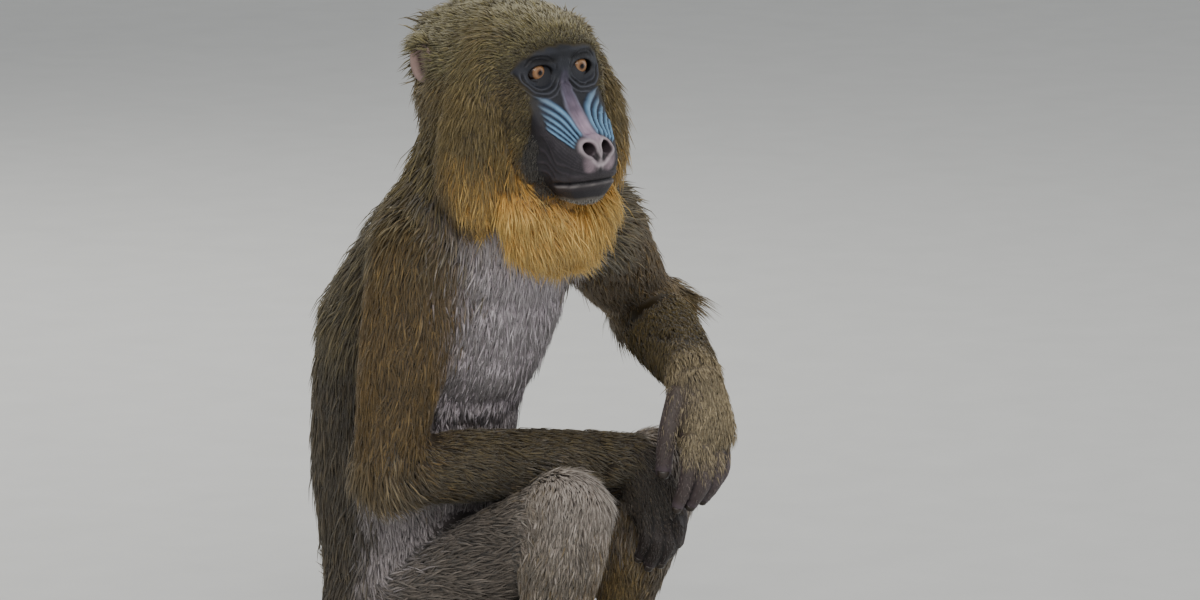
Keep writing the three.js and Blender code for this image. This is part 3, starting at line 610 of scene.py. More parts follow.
# the bridge's half-width at some heights, and the mouth's line: its height at the front and its slope
BRIDGE_HEIGHT, BRIDGE_HALF = (-50, -45, -30, -14, 0), (5.8, 5.6, 6.2, 3.6, 2.2)
MOUTH_UP, MOUTH_FRONT, MOUTH_SLOPE, MOUTH_BACK = -78.5, 42, 0.085, 13
NOSE_PAD, NOSE_RADII, NOSE_LEAN = (6.6, 36.0, -61.5), (8.6, 8.6, 12.2), 18
NOSTRIL_TOP, NOSTRIL_WIDE = (7.0, 41.0, -55.5), (4.3, 12.0, 4.1)
NOSTRIL_END, NOSTRIL_TAPER = (1.5, 46.5, -65.0), (3.2, 0.9)
NOSTRIL_DEEP = 30.0
# the folds under the eye: their spacing, and how far from the eye's middle they reach; and over the eye
BAG, BAG_FROM, BAG_TO = 3.4, 11.5, 21.5
LID_FOLD, LID_FOLD_AT = 3.0, 11
# the muzzle's wrinkles run along it, this many degrees apart
WRINKLES = 7.5
EAR = {"across": 55, "forward": -88, "up": -3, "tall": 15.5, "long": 12, "deep": 7}
# forms added to the plain head: centre, radii, and how softly each joins
BROW = (0, -4.5, 7.2), (30, 10, 5.2), 4
BROW_END = (24, -9, 3.5), (10, 7.5, 6), 6
JAW_CORNER = (26, -12, -66), (13, 18, 18), 12
NOSE_MIDDLE = (0, 37, -56), (7, 6, 9), 3
NOSE_FOOT = (0, 37.5, -66), (10, 5.5, 7.5), 3
# forms cut from it: the dip between the eyes, and the hollow of each eye
BRIDGE_DIP = (0, 13.5, -13), (9, 9, 10), 7
EYE_HOLLOW = (18.6, 9, -7.6), (12.0, 11.5, 9.0), 6
# how far each feature stands out (or lies in), in mm
HIGH = {
    "ridge_foot": 0.4, "ridge": 2.3, "wrinkle": 0.28, "under_brow": -1.0, "bridge": 1.2, "groove": -0.5,
    "lips": 1.0, "gape": -2.2, "fold": 0.9, "nostril_rim": 0.9, "dents": 0.35, "small_dents": 0.25,
}
# how round a ridge's crest is: 1 is a plain wave
RIDGE_ROUND = 0.8
print("eyes", 2 * EYE["across"], "mm apart,", RIDGES, "ridges on each side,", len(HIGH), "heights")

# %% [markdown]
# ## Simple bodies for features
# Every feature starts from an egg or a tapering rod. Such a body is a formula for the distance to it, so
# it can be joined to the head or cut from it with a soft edge.

# %% Eggs and rods
def mirrored(points):
    """The same points, all on the head's right side."""
    return np.stack([np.abs(points[:, 0]), points[:, 1], points[:, 2]], 1)


def hill(x, half):
    """1 at 0, and falling off smoothly on both sides."""
    return np.exp(-((x / half) ** 2))


def turn_x(degrees):
    c, s = math.cos(math.radians(degrees)), math.sin(math.radians(degrees))
    return np.array([[1, 0, 0], [0, c, -s], [0, s, c]])


def lerp(pair, f):
    return pair[0] + (pair[1] - pair[0]) * f


def egg(points, centre, radii, turn=None):
    """Distance from an ellipsoid."""
    offset = points - np.array(centre, float)
    if turn is not None:
        offset = offset @ turn
    q = np.maximum(np.linalg.norm(offset / np.array(radii, float), axis=1), 1e-3)
    return np.linalg.norm(offset, axis=1) * (1 - 1 / q)


def rope(points, a, b, ra, rb):
    """Distance from a tapering rod between two points."""
    a, b = np.array(a, float), np.array(b, float)
    along = b - a
    f = np.clip((points - a) @ along / (along @ along), 0, 1)
    return np.linalg.norm(points - a - f[:, None] * along, axis=1) - (ra + (rb - ra) * f)


def add_form(d, points, centre, radii, soft):
    return smooth_min(d, egg(points, centre, radii), soft)


def cut_form(d, points, centre, radii, soft):
    return smooth_max(d, -egg(points, centre, radii), soft)


def nostril(m):
    """Distance from the nostrils: wide drops that taper down to the middle of the nose."""
    start = (NOSTRIL_TOP[0] - 0.5, NOSTRIL_END[1] - 2, NOSTRIL_TOP[2])
    taper = rope(m, start, NOSTRIL_END, *NOSTRIL_TAPER)
    hole = smooth_min(egg(m, NOSTRIL_TOP, NOSTRIL_WIDE), taper, 1.5)
    return smooth_max(hole, NOSTRIL_DEEP - m[:, 1], 2)


outside = egg(np.array([(15.0, 0, 0)]), (0, 0, 0), (10, 10, 10))[0]
print("a point 15 mm from the middle of an egg of radius 10 is", round(outside, 2), "mm outside")

# %% [markdown]
# ## The ridges
# The five swollen ridges of each cheek start under the eye, fan out over the muzzle and run together
# beside the nose. Each has its own arch, found on the photo, and between two ridges lies a groove. The
# ridge's number runs on smoothly from one to the next, so its cosine is the profile of crest and groove.

# %% Find the ridges
def ridge_fan(share, turned):
    """Which ridge a point is on, as a number from 0 to 4 that goes on between them, and where the fan is."""
    angles = []
    for k in range(RIDGES):
        c = k / (RIDGES - 1)
        s = np.clip((share - lerp(RIDGE_BACK, c)) / (lerp(RIDGE_FRONT, c) - lerp(RIDGE_BACK, c)), 0, 1)
        front, back = lerp(RIDGE_FRONT_AT, c), lerp(RIDGE_BACK_AT, c)
        angles.append(front - (front - back) * (1 - s) ** lerp(RIDGE_ARCH, c))
    number = np.full(len(share), -1.0)
    for k in range(RIDGES - 1):
        gap = np.maximum(angles[k] - angles[k + 1], 1.5)
        part = (angles[k] - turned) / gap
        low = -1.0 if k == 0 else 0.0
        high = 2.0 if k == RIDGES - 2 else 1.0
        number = np.where((part > low) & (part <= high), k + part, number)
    number = np.where(turned < angles[-1] - 12, RIDGES, number)
    start = lerp(RIDGE_BACK, np.clip(number / (RIDGES - 1), 0, 1))
    end = lerp(RIDGE_FRONT, np.clip(number / (RIDGES - 1), 0, 1))
    fan = fade(number, -0.5, -0.3) * (1 - fade(number, RIDGES - 0.62, RIDGES - 0.38))
    fan *= fade(share, start, start + 0.035) * (1 - fade(share, end - 0.01, end + 0.02))
    return number, fan


turned_by = np.linspace(75, 35, 5)
print("ridge numbers outwards:", ridge_fan(np.full(5, 0.8), turned_by)[0].round(1).tolist())

# %% [markdown]
# ## Places of the face
# Swellings and colours both have to know what is where: how near the eye, on which ridge, how far below
# the mouth's line. This is measured once, and shape and paint use the same measures.

# %% Name the places of the face
def face_map(points):
    """Names the places of the face: the skull's share and angle, and how far each point is into a feature."""
    d, share, angle = skull.locate(points)
    turned = np.where(np.abs(angle) > 90, np.sign(angle) * 180 - angle, angle)
    x, y, z = np.abs(points[:, 0]), points[:, 1], points[:, 2]
    number, fan = ridge_fan(share, turned)
    crest = 0.5 + 0.5 * np.cos(2 * np.pi * number)
    half = np.interp(z, BRIDGE_HEIGHT, BRIDGE_HALF)
    bridge = (1 - fade(x, half - 1.0, half + 1.2)) * fade(-z, 1, 10) * (1 - fade(-z, 47, 53)) * (turned > 20)
    eye = np.hypot(x - EYE["across"], (z - EYE["up"]) * 1.08)
    near_eye = fade(y, -22, -14) * (1 - fade(y, 18, 26))
    drop = EYE["up"] - z + 2.0 * (x - EYE["across"]) / 10
    below = fade(drop, 0, 5) * fade(eye, BAG_FROM - 1.5, BAG_FROM + 1)
    below = below * (1 - fade(eye, BAG_TO - 3, BAG_TO)) * near_eye
    above = fade(-drop, 1, 5) * fade(eye, 9.5, 11) * (1 - fade(eye, 13, 15)) * near_eye
    wave = eye + 0.7 * noise(points, 5, 4)
    fold = below * np.cos(2 * np.pi * (wave - BAG_FROM) / BAG)
    fold = fold + 0.7 * above * np.cos(2 * np.pi * (wave - LID_FOLD_AT) / LID_FOLD)
    side = fade(share, 0.70, 0.78) * (1 - fade(turned, 38, 46)) * fade(turned, -34, -20)
    side = side * (1 - fan) * fade(y, 2, 10)
    line = side * np.cos(2 * np.pi * (turned + 3.5 * noise(points, 9, 6)) / WRINKLES)
    # the strip under the brow's edge: sunk a little, and painted dark as the brow's shadow
    under_brow = hill(z - 1.2 - 0.05 * x, 1.5)
    under_brow = under_brow * fade(x, 4, 8) * (1 - fade(x, 24, 29)) * fade(y, -14, -8)
    mouth = z - (MOUTH_UP + MOUTH_SLOPE * (y - MOUTH_FRONT))
    gape = fade(y, MOUTH_BACK, MOUTH_BACK + 9)
    nose = egg(mirrored(points), NOSE_PAD, NOSE_RADII, turn_x(NOSE_LEAN))
    nose = add_form(nose, points, *NOSE_MIDDLE)
    nose = add_form(nose, points, *NOSE_FOOT)
    return {
        "skull": d, "share": share, "number": number, "fan": fan, "crest": crest, "bridge": bridge,
        "eye": eye, "near_eye": near_eye, "fold": fold, "line": line, "under_brow": under_brow,
        "mouth": mouth, "gape": gape, "nose": nose,
    }


print("measures of a place:", ", ".join(face_map(np.zeros((1, 3)))))

# %% [markdown]
# ## The head with its features
# The big forms come first, then the swellings, and last what is cut: the gap between the lids, the room
# for the eyeball, the nostrils and the hollow of the ear. Cutting last keeps those edges crisp.

# %% Build the face
def swellings(points, m, f, hole):
    """How far the small features stand out from the big forms."""
    ridges = f["fan"] * (HIGH["ridge_foot"] + HIGH["ridge"] * f["crest"] ** RIDGE_ROUND)
    total = ridges + HIGH["wrinkle"] * f["line"] + HIGH["under_brow"] * f["under_brow"]
    total += f["bridge"] * (HIGH["bridge"] + HIGH["groove"] * hill(points[:, 0], 1.2))
    lips = hill(f["mouth"] - 3.2, 2.2) + hill(f["mouth"] + 3.4, 2.6)
    total += HIGH["lips"] * f["gape"] * lips
    total += HIGH["gape"] * f["gape"] * hill(f["mouth"], 0.9)
    total += HIGH["fold"] * f["fold"]
    total += HIGH["nostril_rim"] * hill(hole - 1.6, 1.3) * (m[:, 2] > -62)
    return total + (HIGH["dents"] * noise(points, 7, 3) + HIGH["small_dents"] * noise(points, 3.2, 5))


def face_distance(points):
    """The head with its features; points in the head's frame."""
    m = mirrored(points)
    f = face_map(points)
    d = add_form(f["skull"], m, *BROW)
    d = add_form(d, m, *BROW_END)
    d = add_form(d, m, *JAW_CORNER)
    d = cut_form(d, m, *BRIDGE_DIP)
    d = cut_form(d, m, *EYE_HOLLOW)
    d = smooth_min(d, f["nose"], 2.4)
    hole = nostril(m)
    d = d - swellings(points, m, f, hole)
    ball = np.linalg.norm(m - EYE_AT, axis=1)
    d = smooth_min(d, ball - (EYE["radius"] + LID), 2.2)
    d = smooth_max(d, -egg(m, SLOT_AT, OPENING, turn_y(6)), 0.9)
    d = np.maximum(d, EYE["radius"] + 0.1 - ball)
    d = smooth_max(d, -hole, 1.2)
    cup = egg(m, (EAR["across"], EAR["forward"], EAR["up"]), (EAR["deep"], EAR["long"], EAR["tall"]))
    cup_middle = (EAR["across"] + 5, EAR["forward"] + 3, EAR["up"])
    hollow = egg(m, cup_middle, (6, EAR["long"] - 2.6, EAR["tall"] - 2.8))
    cup = smooth_max(cup, -hollow, 1.5)
    cup = smooth_min(cup, rope(m, (56, -84, -12), (57, -90, 1), 1.8, 1.3), 2)
    return smooth_min(d, cup, 3)


ahead = np.array([(0, y, NOSE_MIDDLE[0][2]) for y in range(0, 70)], float)
print("the nose ends", ahead[face_distance(ahead) < 0, 1].max(), "mm in front of the eyes' level")

# %% [markdown]
# ## Joining the parts
# Flesh runs together only where it belongs together: an arm blends into the trunk at its shoulder, a thigh
# at its hip, each finger into its own palm. Parts that merely touch, such as a forearm on a thigh, meet in
# a crease. Blending everything at once would web such parts together, so each chain of parts is blended by
# itself and the chains are then laid together.

# %% Chains of parts
# each part with the width of its blend in mm
HEAD_CHAIN = (
    ("trunk", 16), ("upper_arm_right", 18), ("upper_arm_left", 18), ("ruff_right", 9), ("ruff_left", 9),
    ("beard", 8),
)
torso = [("trunk", 1), ("ruff_right", 18), ("ruff_left", 18), ("beard", 12), ("tail", 8)]
chains = [torso + [(f"{n}_{s}", k) for s in ("right", "left") for n, k in (("thigh", 26), ("upper_arm", 18))]]
for side in ("right", "left"):
    chains.append([(f"thigh_{side}", 1), (f"shin_{side}", 20), (f"sole_{side}", 9)])
    chains.append([(f"upper_arm_{side}", 1), (f"forearm_{side}", 16), (f"palm_{side}", 8)])
    chains += [[(f"palm_{side}", 1), (f"{n}_{side}", 3.5), (f"forearm_{side}", 8)] for n in HANDS[side]]
    chains += [[(f"sole_{side}", 1), (f"toe_{n}_{side}", 5)] for n in TOES]
# chains that touch meet with this small blend, and the skin ends this far above the floor
TOUCH, FLOOR_GAP = 1.5, 0.4
# how far round a part, and round the head, its distance is asked for
MARGIN, HEAD_REACH = 18.0, 145.0
print(len(chains), "chains of parts")


def within(points, low, high):
    return np.flatnonzero(((points > low - MARGIN) & (points < high + MARGIN)).all(1))


def round_head(points):
    return within(points, np.array(HEAD_AT) - HEAD_REACH, np.array(HEAD_AT) + HEAD_REACH)


def all_chains(points):
    """Distance from all chains of parts laid together, cut level just above the floor."""
    total = np.full(len(points), FAR)
    reach = {}
    for name, part in parts.items():
        near = within(points, part.low, part.high)
        reach[name] = near, part.distance(points[near])
    for chain in chains:
        layer = np.full(len(points), FAR)
        for name, k in chain:
            near, d = reach[name]
            layer[near] = smooth_min(layer[near], d, k)
        total = smooth_min(total, layer, TOUCH)
    return np.maximum(total, FLOOR_GAP - points[:, 2])


# %% [markdown]
# ## Coarse and fine skin
# Fingers, toes and the head need smaller cells than the trunk. They get blocks of their own, and within
# a block the coarser skin is drawn in a little, so that only the finer one shows and no seam is seen.

# %% Blocks of finer skin
def depth_in_box(points, low, high):
    return np.minimum(points - low, high - points).min(1)


# the finer blocks: both hands, each foot, as low corner, high corner and cell
FINE = {
    "hands": (np.array((44.0, -236.0, 100.0)), np.array((136.0, -118.0, 292.0)), 1.9),
    "foot_right": (np.array((-116.0, -326.0, -4.0)), np.array((-4.0, -134.0, 52.0)), 2.2),
    "foot_left": (np.array((28.0, -268.0, -4.0)), np.array((142.0, -74.0, 52.0)), 2.2),
}
BODY_STEP, HEAD_STEP, FACE_STEP = 4.4, 2.2, 0.8
HEAD_LOW, HEAD_HIGH = np.array((-72.0, -108.0, -116.0)), np.array((72.0, 64.0, 52.0))
FACE_LOW, FACE_HIGH = np.array((-42.0, -20.0, -94.0)), np.array((42.0, 60.0, 20.0))
# how far a coarser skin is drawn in under a finer one, and over which way from the block's edge
UNDER_HEAD, UNDER_FINE, UNDER_FACE = (7.0, 12), (2.5, 8), (2.5, 6)
# the head's join with the body: how far the skull is held back, and the width of the blend
NECK_BACK, NECK_BLEND = 1.0, 16


def drawn_in(points, low, high, most, way):
    return most * fade(depth_in_box(points, low, high), 0, way)


def sunk(points):
    """How far the body's own skin is drawn in where a finer skin covers it."""
    sink = drawn_in(to_head(points), HEAD_LOW, HEAD_HIGH, *UNDER_HEAD)
    for low, high, _ in FINE.values():
        sink = np.maximum(sink, drawn_in(points, low, high, *UNDER_FINE))
    return sink


def body_field(points):
    d = all_chains(points)
    near = round_head(points)
    d[near] = smooth_min(d[near], skull.locate(to_head(points[near]))[0] + NECK_BACK, NECK_BLEND)
    return d + sunk(points)


def head_distance(points):
    d = face_distance(points)
    around = from_head(points)
    # the blends get up to twice as wide behind the ears, where the neck thickens
    behind = fade(-points[:, 1], 20, 55)
    for name, k in HEAD_CHAIN:
        d = smooth_min(d, parts[name].distance(around), k * (1 + behind))
    return d


def face_sunk(points):
    return drawn_in(points, FACE_LOW, FACE_HIGH, *UNDER_FACE)


def head_field(points):
    d = head_distance(points) + face_sunk(points)
    return np.maximum(d, -depth_in_box(points, HEAD_LOW, HEAD_HIGH))


def face_field(points):
    return np.maximum(head_distance(points), -depth_in_box(points, FACE_LOW, FACE_HIGH))


print("cells in mm: body", BODY_STEP, "head", HEAD_STEP, "face", FACE_STEP)

# %% Read the skin
BODY_LOW, BODY_HIGH = (-130, -330, -6), (245, 105, 545)
shells = []
grid = Grid(body_field, BODY_LOW, BODY_HIGH, BODY_STEP, 2)
points, faces = read_surface(grid)
shells.append((relax(points, faces, 3), faces, "body"))
for name, (low, high, step) in FINE.items():
    def block_field(p):
        return np.maximum(all_chains(p), -depth_in_box(p, low, high))

    grid = Grid(block_field, low - 2 * step, high + 2 * step, step, 3)
    points, faces = read_surface(grid)
    shells.append((relax(points, faces, 1), faces, name))
for name, field, low, high, step in (
    ("head", head_field, HEAD_LOW, HEAD_HIGH, HEAD_STEP), ("face", face_field, FACE_LOW, FACE_HIGH, FACE_STEP)
):
    grid = Grid(field, low - 2 * step, high + 2 * step, step, 3)
    points, faces = read_surface(grid)
    shells.append((from_head(relax(points, faces, 1, 0.3)), faces, name))
for points, faces, name in shells:
    print(name, len(points), "points", len(faces), "faces")

# %% [markdown]
# ## Where the coat changes
# A mandrill's coat is olive on the crown and nape, grey-brown on the back and sides, golden on the upper
# arms and shins, pale below, and the beard is yellow. Face, ears, palms and the patch round the tail are
# bare. One could paint such areas with a brush as vertex groups. Here rules say where each region lies,
# because then the skin and the hair over it change at the same border. Each region has the hair's colour
# near its root and at its tip, its length and width, how far it lifts off the skin, and how many tufts
# stand on a square millimetre. Every point belongs to one region or to a mixture of them.

# %% Regions of the coat
# root and tip colour (sRGB), length and width in mm, lift, tufts for each square mm
REGIONS = {
    "crown": ("#50472f", "#aba06d", 11, 0.95, 0.36, 1.38),
    "cheek": ("#56492f", "#a69262", 14, 1.05, 0.38, 1.20),
    "jaw": ("#343233", "#8a8378", 14, 0.9, 0.20, 1.30),
    "jowl": ("#57472f", "#9d8453", 18, 1.2, 0.34, 0.85),
    "chin": ("#8b857d", "#ece6dc", 8, 0.9, 0.30, 0.90),
    "beard": ("#cb9847", "#f3cd79", 23, 1.05, 0.18, 1.10),
    "nape": ("#4f4633", "#897b52", 24, 1.7, 0.22, 0.40),
    "mantle": ("#484136", "#7a6f52", 25, 1.9, 0.18, 0.34),
    "back": ("#433d34", "#6b604b", 23, 2.0, 0.13, 0.29),
    "side": ("#403a33", "#665c4a", 21, 1.9, 0.13, 0.31),
    "chest": ("#b4a9b0", "#e4dde0", 18, 1.6, 0.17, 0.44),
    "belly": ("#938a8b", "#c6bdbd", 17, 1.7, 0.15, 0.38),
    "upper_arm": ("#54432a", "#92794c", 18, 1.6, 0.17, 0.44),
    "elbow": ("#4c4232", "#8c7d60", 21, 1.5, 0.32, 0.44),
    "forearm": ("#3b3123", "#776947", 14, 1.4, 0.15, 0.50),
    "sleeve": ("#4a3f29", "#857448", 15, 1.4, 0.17, 0.50),
    # the right hand's hair and fingers are darker, shaded copies of the left hand's, which are lighter, as
    # lit; the toes take the right fingers' colour
    "hand_right": ("#332d28", "#5f554a", 7, 1.2, 0.12, 0.60),
    "hand_left": ("#7d7058", "#cbb995", 9, 1.1, 0.16, 0.80),
    "finger_right": ("#423a37", "#4d4540", 4, 0.8, 0.10, 0.18),
    "finger_left": ("#6a5e5c", "#776b67", 4, 0.8, 0.10, 0.14),
    "thigh": ("#403b36", "#877d73", 19, 1.8, 0.15, 0.38),
    "knee": ("#968a81", "#cfc5bb", 13, 1.5, 0.17, 0.50),
    "shin": ("#5d4c30", "#a8905f", 13, 1.4, 0.16, 0.50),
    "calf": ("#4d463d", "#a09484", 15, 1.5, 0.16, 0.48),
    "foot": ("#40372d", "#75674f", 8, 1.3, 0.13, 0.60),
    "tail": ("#463f33", "#7d7156", 14, 1.6, 0.28, 0.45),
    # palm is a darker, shaded copy of the bare skin, on both palms, the soles, the toes and under the right
    # fingers; palm_left is a lighter, lit copy, under the left fingers
    "palm": ("#3a3233", "#3a3233", 0, 1.0, 0, 0),
    "palm_left": ("#5c5156", "#5c5156", 0, 1.0, 0, 0),
    "rump": ("#86707a", "#86707a", 0, 1.0, 0, 0),
    "ear": ("#9b827b", "#9b827b", 0, 1.0, 0, 0),
    "face": ("#23242a", "#23242a", 0, 1.0, 0, 0),
}
NAMES = list(REGIONS)
BARE = [NAMES.index(n) for n in ("palm", "palm_left", "rump", "ear", "face")]


def linear(code):
    """An sRGB hex colour as linear red, green and blue."""
    c = np.array([int(code[i : i + 2], 16) for i in (1, 3, 5)]) / 255
    return np.where(c <= 0.04045, c / 12.92, ((c + 0.055) / 1.055) ** 2.4)


ROOTS = np.array([linear(REGIONS[n][0]) for n in NAMES])
TIPS = np.array([linear(REGIONS[n][1]) for n in NAMES])
SIZES = np.array([REGIONS[n][2:] for n in NAMES], float)
print("regions:", len(NAMES), "- bare ones:", len(BARE))

# %% [markdown]
# ## Regions of the head
# The hair of the head stops in a ragged line at the brow, the cheeks and the chin, and leaves the eyes
# and the muzzle bare. The line is given by a few heights and depths, and smooth noise makes it uneven.

# %% Edge of the bare face
# how far forward the bare face starts at each height, on the side of the head
EDGE_HEIGHT = (-100, -82, -64, -45, -32, -19, -10, -4, 0, 6)
EDGE_FORWARD = (-4, -1, 0, 6, 9, 5, 0, -7, -4, 0)
# the hairline's height at the middle of the brow, and how much lower it is 30 mm to the side
HAIRLINE, HAIRLINE_DROP = 11.5, 6.0
EAR_AT = (EAR["across"] + 1, EAR["forward"] + 1, EAR["up"])
EAR_REACH = (9, EAR["long"] + 1, EAR["tall"] + 1)
# the height where the chin's hair begins, and the radius of the bare skin round each eye
CHIN_LINE = -91.5
BARE_EYE = 14.0


def hairline(x):
    return HAIRLINE - HAIRLINE_DROP * (x / 30) ** 2


def bareness(points):
    """0 in the hair and 1 on the bare face, for points in the head's frame."""
    x, y, z = np.abs(points[:, 0]), points[:, 1], points[:, 2]
    ragged = 1.4 * noise(points, 5, 11)
    bare = fade(y - np.interp(z, EDGE_HEIGHT, EDGE_FORWARD) + ragged, -2, 2)
    eye = np.hypot(x - EYE["across"], 1.08 * (z - EYE["up"]))
    bare = np.maximum(bare, (1 - fade(eye + ragged, BARE_EYE - 1, BARE_EYE + 1.5)) * (y > -14))
    bare *= 1 - fade(z - hairline(x) + ragged, -1.5, 1.5)
    return bare * fade(z - CHIN_LINE + ragged * 0.6, -1.5, 1.5)


print("hairline at the middle and 30 mm out:", hairline(0), hairline(30))


# %% Regions of the head
def head_regions(points, d_skull):
    """Splits points in the head's frame into regions, as {region: weight}."""
    x, y, z = np.abs(points[:, 0]), points[:, 1], points[:, 2]
    bare = bareness(points)
    ear = 1 - fade(egg(mirrored(points), EAR_AT, EAR_REACH), -1, 1.5)
    ear *= 1 - fade(z - EAR["up"] + 3 * noise(points, 4, 12), 8, 13)
    chin = fade(-z, 89, 91.5) * fade(y, 2, 12) * (1 - fade(d_skull, 2, 6))
    cheek = fade(-z, 4, 16) * fade(x, 26, 36)
    nape = fade(-y, 96, 112)
    gold = fade(-z, 66, 80) * fade(y, -52, -40) * (1 - fade(x, 54, 66)) * (1 - bare)
    # short dark hair softens the lower edge of the bare face
    jaw = bare * (1 - ear) * fade(-z, 38, 56)
    jaw *= 1 - fade(y - np.interp(z, EDGE_HEIGHT, EDGE_FORWARD) + 2 * noise(points, 6, 13), 5, 14)
    w = {"face": bare * (1 - ear) - jaw, "ear": ear, "jaw": jaw}
    rest = (1 - bare) * (1 - ear)
    w["chin"] = rest * chin
    w["beard"] = rest * (1 - chin) * gold
    rest = rest * (1 - chin) * (1 - gold)
    w["cheek"] = rest * cheek
    w["nape"] = rest * (1 - cheek) * nape
    w["crown"] = rest * (1 - cheek) * (1 - nape)
    return w


print("regions of the head:", ", ".join(head_regions(np.zeros((1, 3)), np.zeros(1))))

# %% [markdown]
# ## Regions of the trunk and limbs
# On the trunk the colour depends on the height and on whether a place faces forward. On a limb it depends
# on how far along the limb a place is and which way round. Noise on that share blurs each border.

# %% Regions of the trunk and limbs
# heights between which one region of the trunk goes over into the next
BELLY_FROM, CHEST_FROM, MANTLE_FROM, NAPE_FROM = (50, 110), (228, 262), (262, 318), (398, 430)
# the bare patch of the rump: its middle and half-sizes, across and up
RUMP_AT, RUMP_HALF = (2, 36), (33, 34)


def trunk_regions(front, points):
    z = points[:, 2]
    belly_side = fade(front, 0.15, 0.55) * (0.25 + 0.75 * fade(z, *BELLY_FROM))
    back = fade(-front, 0.2, 0.6)
    high, upper, nape = fade(z, *CHEST_FROM), fade(z, *MANTLE_FROM), fade(z, *NAPE_FROM)
    spread = np.hypot((points[:, 0] - RUMP_AT[0]) / RUMP_HALF[0], (z - RUMP_AT[1]) / RUMP_HALF[1])
    spread = spread + 0.1 * noise(points, 8, 63)
    rump = fade(-front, 0.2, 0.5) * (1 - fade(spread, 0.85, 1.05))
    w = {"rump": rump * fade(z, 4, 10)}
    rest = 1 - w["rump"]
    w["nape"] = rest * nape
    rest = rest * (1 - nape)
    w["chest"] = rest * belly_side * high
    w["belly"] = rest * belly_side * (1 - high)
    flank = rest * (1 - belly_side)
    w["mantle"] = flank * upper
    w["back"] = flank * (1 - upper) * back
    w["side"] = flank * (1 - upper) * (1 - back)
    return w


def part_regions(name, share, angle, points):
    """Splits a part's surface into regions, as {region: weight}."""
    kind, side = name.rsplit("_", 1) if name.endswith(("_right", "_left")) else (name, "")
    front = np.sin(angle)
    share = share + 0.05 * noise(points, 9, 61) + 0.04 * noise(points, 3.5, 62)
    if kind == "trunk":
        return trunk_regions(front, points)
    if kind == "upper_arm":
        top = 1 - fade(share, 0.12, 0.34)
        tip = fade(share, 0.84, 1.0) * fade(-front, -0.3, 0.4)
        return {"mantle": top, "elbow": (1 - top) * tip, "upper_arm": (1 - top) * (1 - tip)}
    if kind == "forearm":
        sleeve = (1 - fade(share, 0.25, 0.7)) * (side == "left")
        elbow = 1 - fade(share, 0.0, 0.12)
        hand = fade(share, 0.8, 1.05)
        rest = (1 - elbow) * (1 - hand)
        return {"elbow": elbow, f"hand_{side}": hand, "sleeve": rest * sleeve, "forearm": rest * (1 - sleeve)}
    if kind == "thigh":
        knee = fade(share, 0.74, 1.02) * (0.55 + 0.45 * fade(front, -0.4, 0.4))
        return {"knee": knee, "thigh": 1 - knee}
    if kind == "shin":
        knee = (1 - fade(share, 0.0, 0.5)) * (0.5 + 0.5 * fade(front, -0.4, 0.4))
        foot = fade(share, 0.8, 1.02)
        outward = np.cos(angle) * (1 if side == "right" else -1)
        rest, gold = (1 - knee) * (1 - foot), 1 - 0.85 * fade(outward, -0.55, 0.25)
        return {"knee": knee, "foot": foot * (1 - knee), "shin": rest * gold, "calf": rest * (1 - gold)}
    if kind == "palm":
        back = fade(front, -0.2, 0.25)
        return {f"hand_{side}": back, "palm": 1 - back}
    if kind in HANDS["left"]:
        back = fade(front, 0.1, 0.6) * (1 - fade(share, 0.8, 0.9))
        root = back * (1 - fade(share, 0.08, 0.5)) * (kind != "thumb")
        # the left fingers take the lighter, lit copies of hair and skin, the right ones the darker, shaded
        # copies
        palm = "palm_left" if side == "left" else "palm"
        return {f"hand_{side}": root, f"finger_{side}": back - root, palm: 1 - back}
    if kind == "sole":
        top = fade(front, -0.2, 0.2)
        return {"foot": top, "palm": 1 - top}
    if kind.startswith("toe"):
        top = fade(front, 0.2, 0.6) * (1 - fade(share, 0.8, 0.9))
        return {"finger_right": top, "palm": 1 - top}
    if kind == "ruff":
        low = fade(share, 0.5, 0.8)
        head = to_head(points)
        gold = low * fade(head[:, 1], -42, -30)
        return {"beard": gold, "jowl": low * (1 - gold), "cheek": (1 - low)}
    return {kind: np.ones(len(points))}


one = np.zeros(1)
print("regions of a shin:", ", ".join(part_regions("shin_right", one, one, np.zeros((1, 3)))))

# %% [markdown]
# ## The lie of the hair
# Hair runs away from the nose: back over the crown, down and out over the cheeks, then down the neck and
# trunk, and along each limb to its fingers. Hair can be combed with brushes, but then every change of the
# pose means combing again. Here each part knows its own lengthwise way, and where two parts meet, the ways
# mix as the flesh does. The same survey gives every point its regions.

# %% Survey the skin
# the head's hair runs away from this point, in the head's frame
NOSE = np.array((0.0, 52.0, -34.0))
# the trunk's rows go up from the seat, against its hair
REVERSED = ("trunk",)
# how quickly a part's say falls off with the distance from it, in mm, and how much all hair hangs down
SOFTNESS, DROOP = 5.0, 0.25
# two fingers or toes that touch get painted shade in a crease this wide between them
CREASE = 2.4
digit_names = [f"{n}_{s}" for s in HANDS for n in HANDS[s]] + [f"toe_{n}_{s}" for s in HANDS for n in TOES]


def head_lie(head):
    """In the head's frame: distance from it, the hair's way, and where the head's say is the strongest."""
    d = skull.locate(head)[0]
    bare = bareness(head) * (1 - fade(d, 7, 12))
    ears = egg(mirrored(head), EAR_AT, EAR_REACH) < 0
    d = np.where(ears | ((bare > 0.5) & (d < 8)), 0, d)
    away = unit(head - NOSE)
    away[:, 2] -= 0.9 * fade(-head[:, 2], -8, 30) * fade(np.abs(head[:, 0]), 10, 34)
    return d, unit(away) @ HEAD_TURN.T, (bare > 0.2) | ears


print(len(digit_names), "fingers and toes")


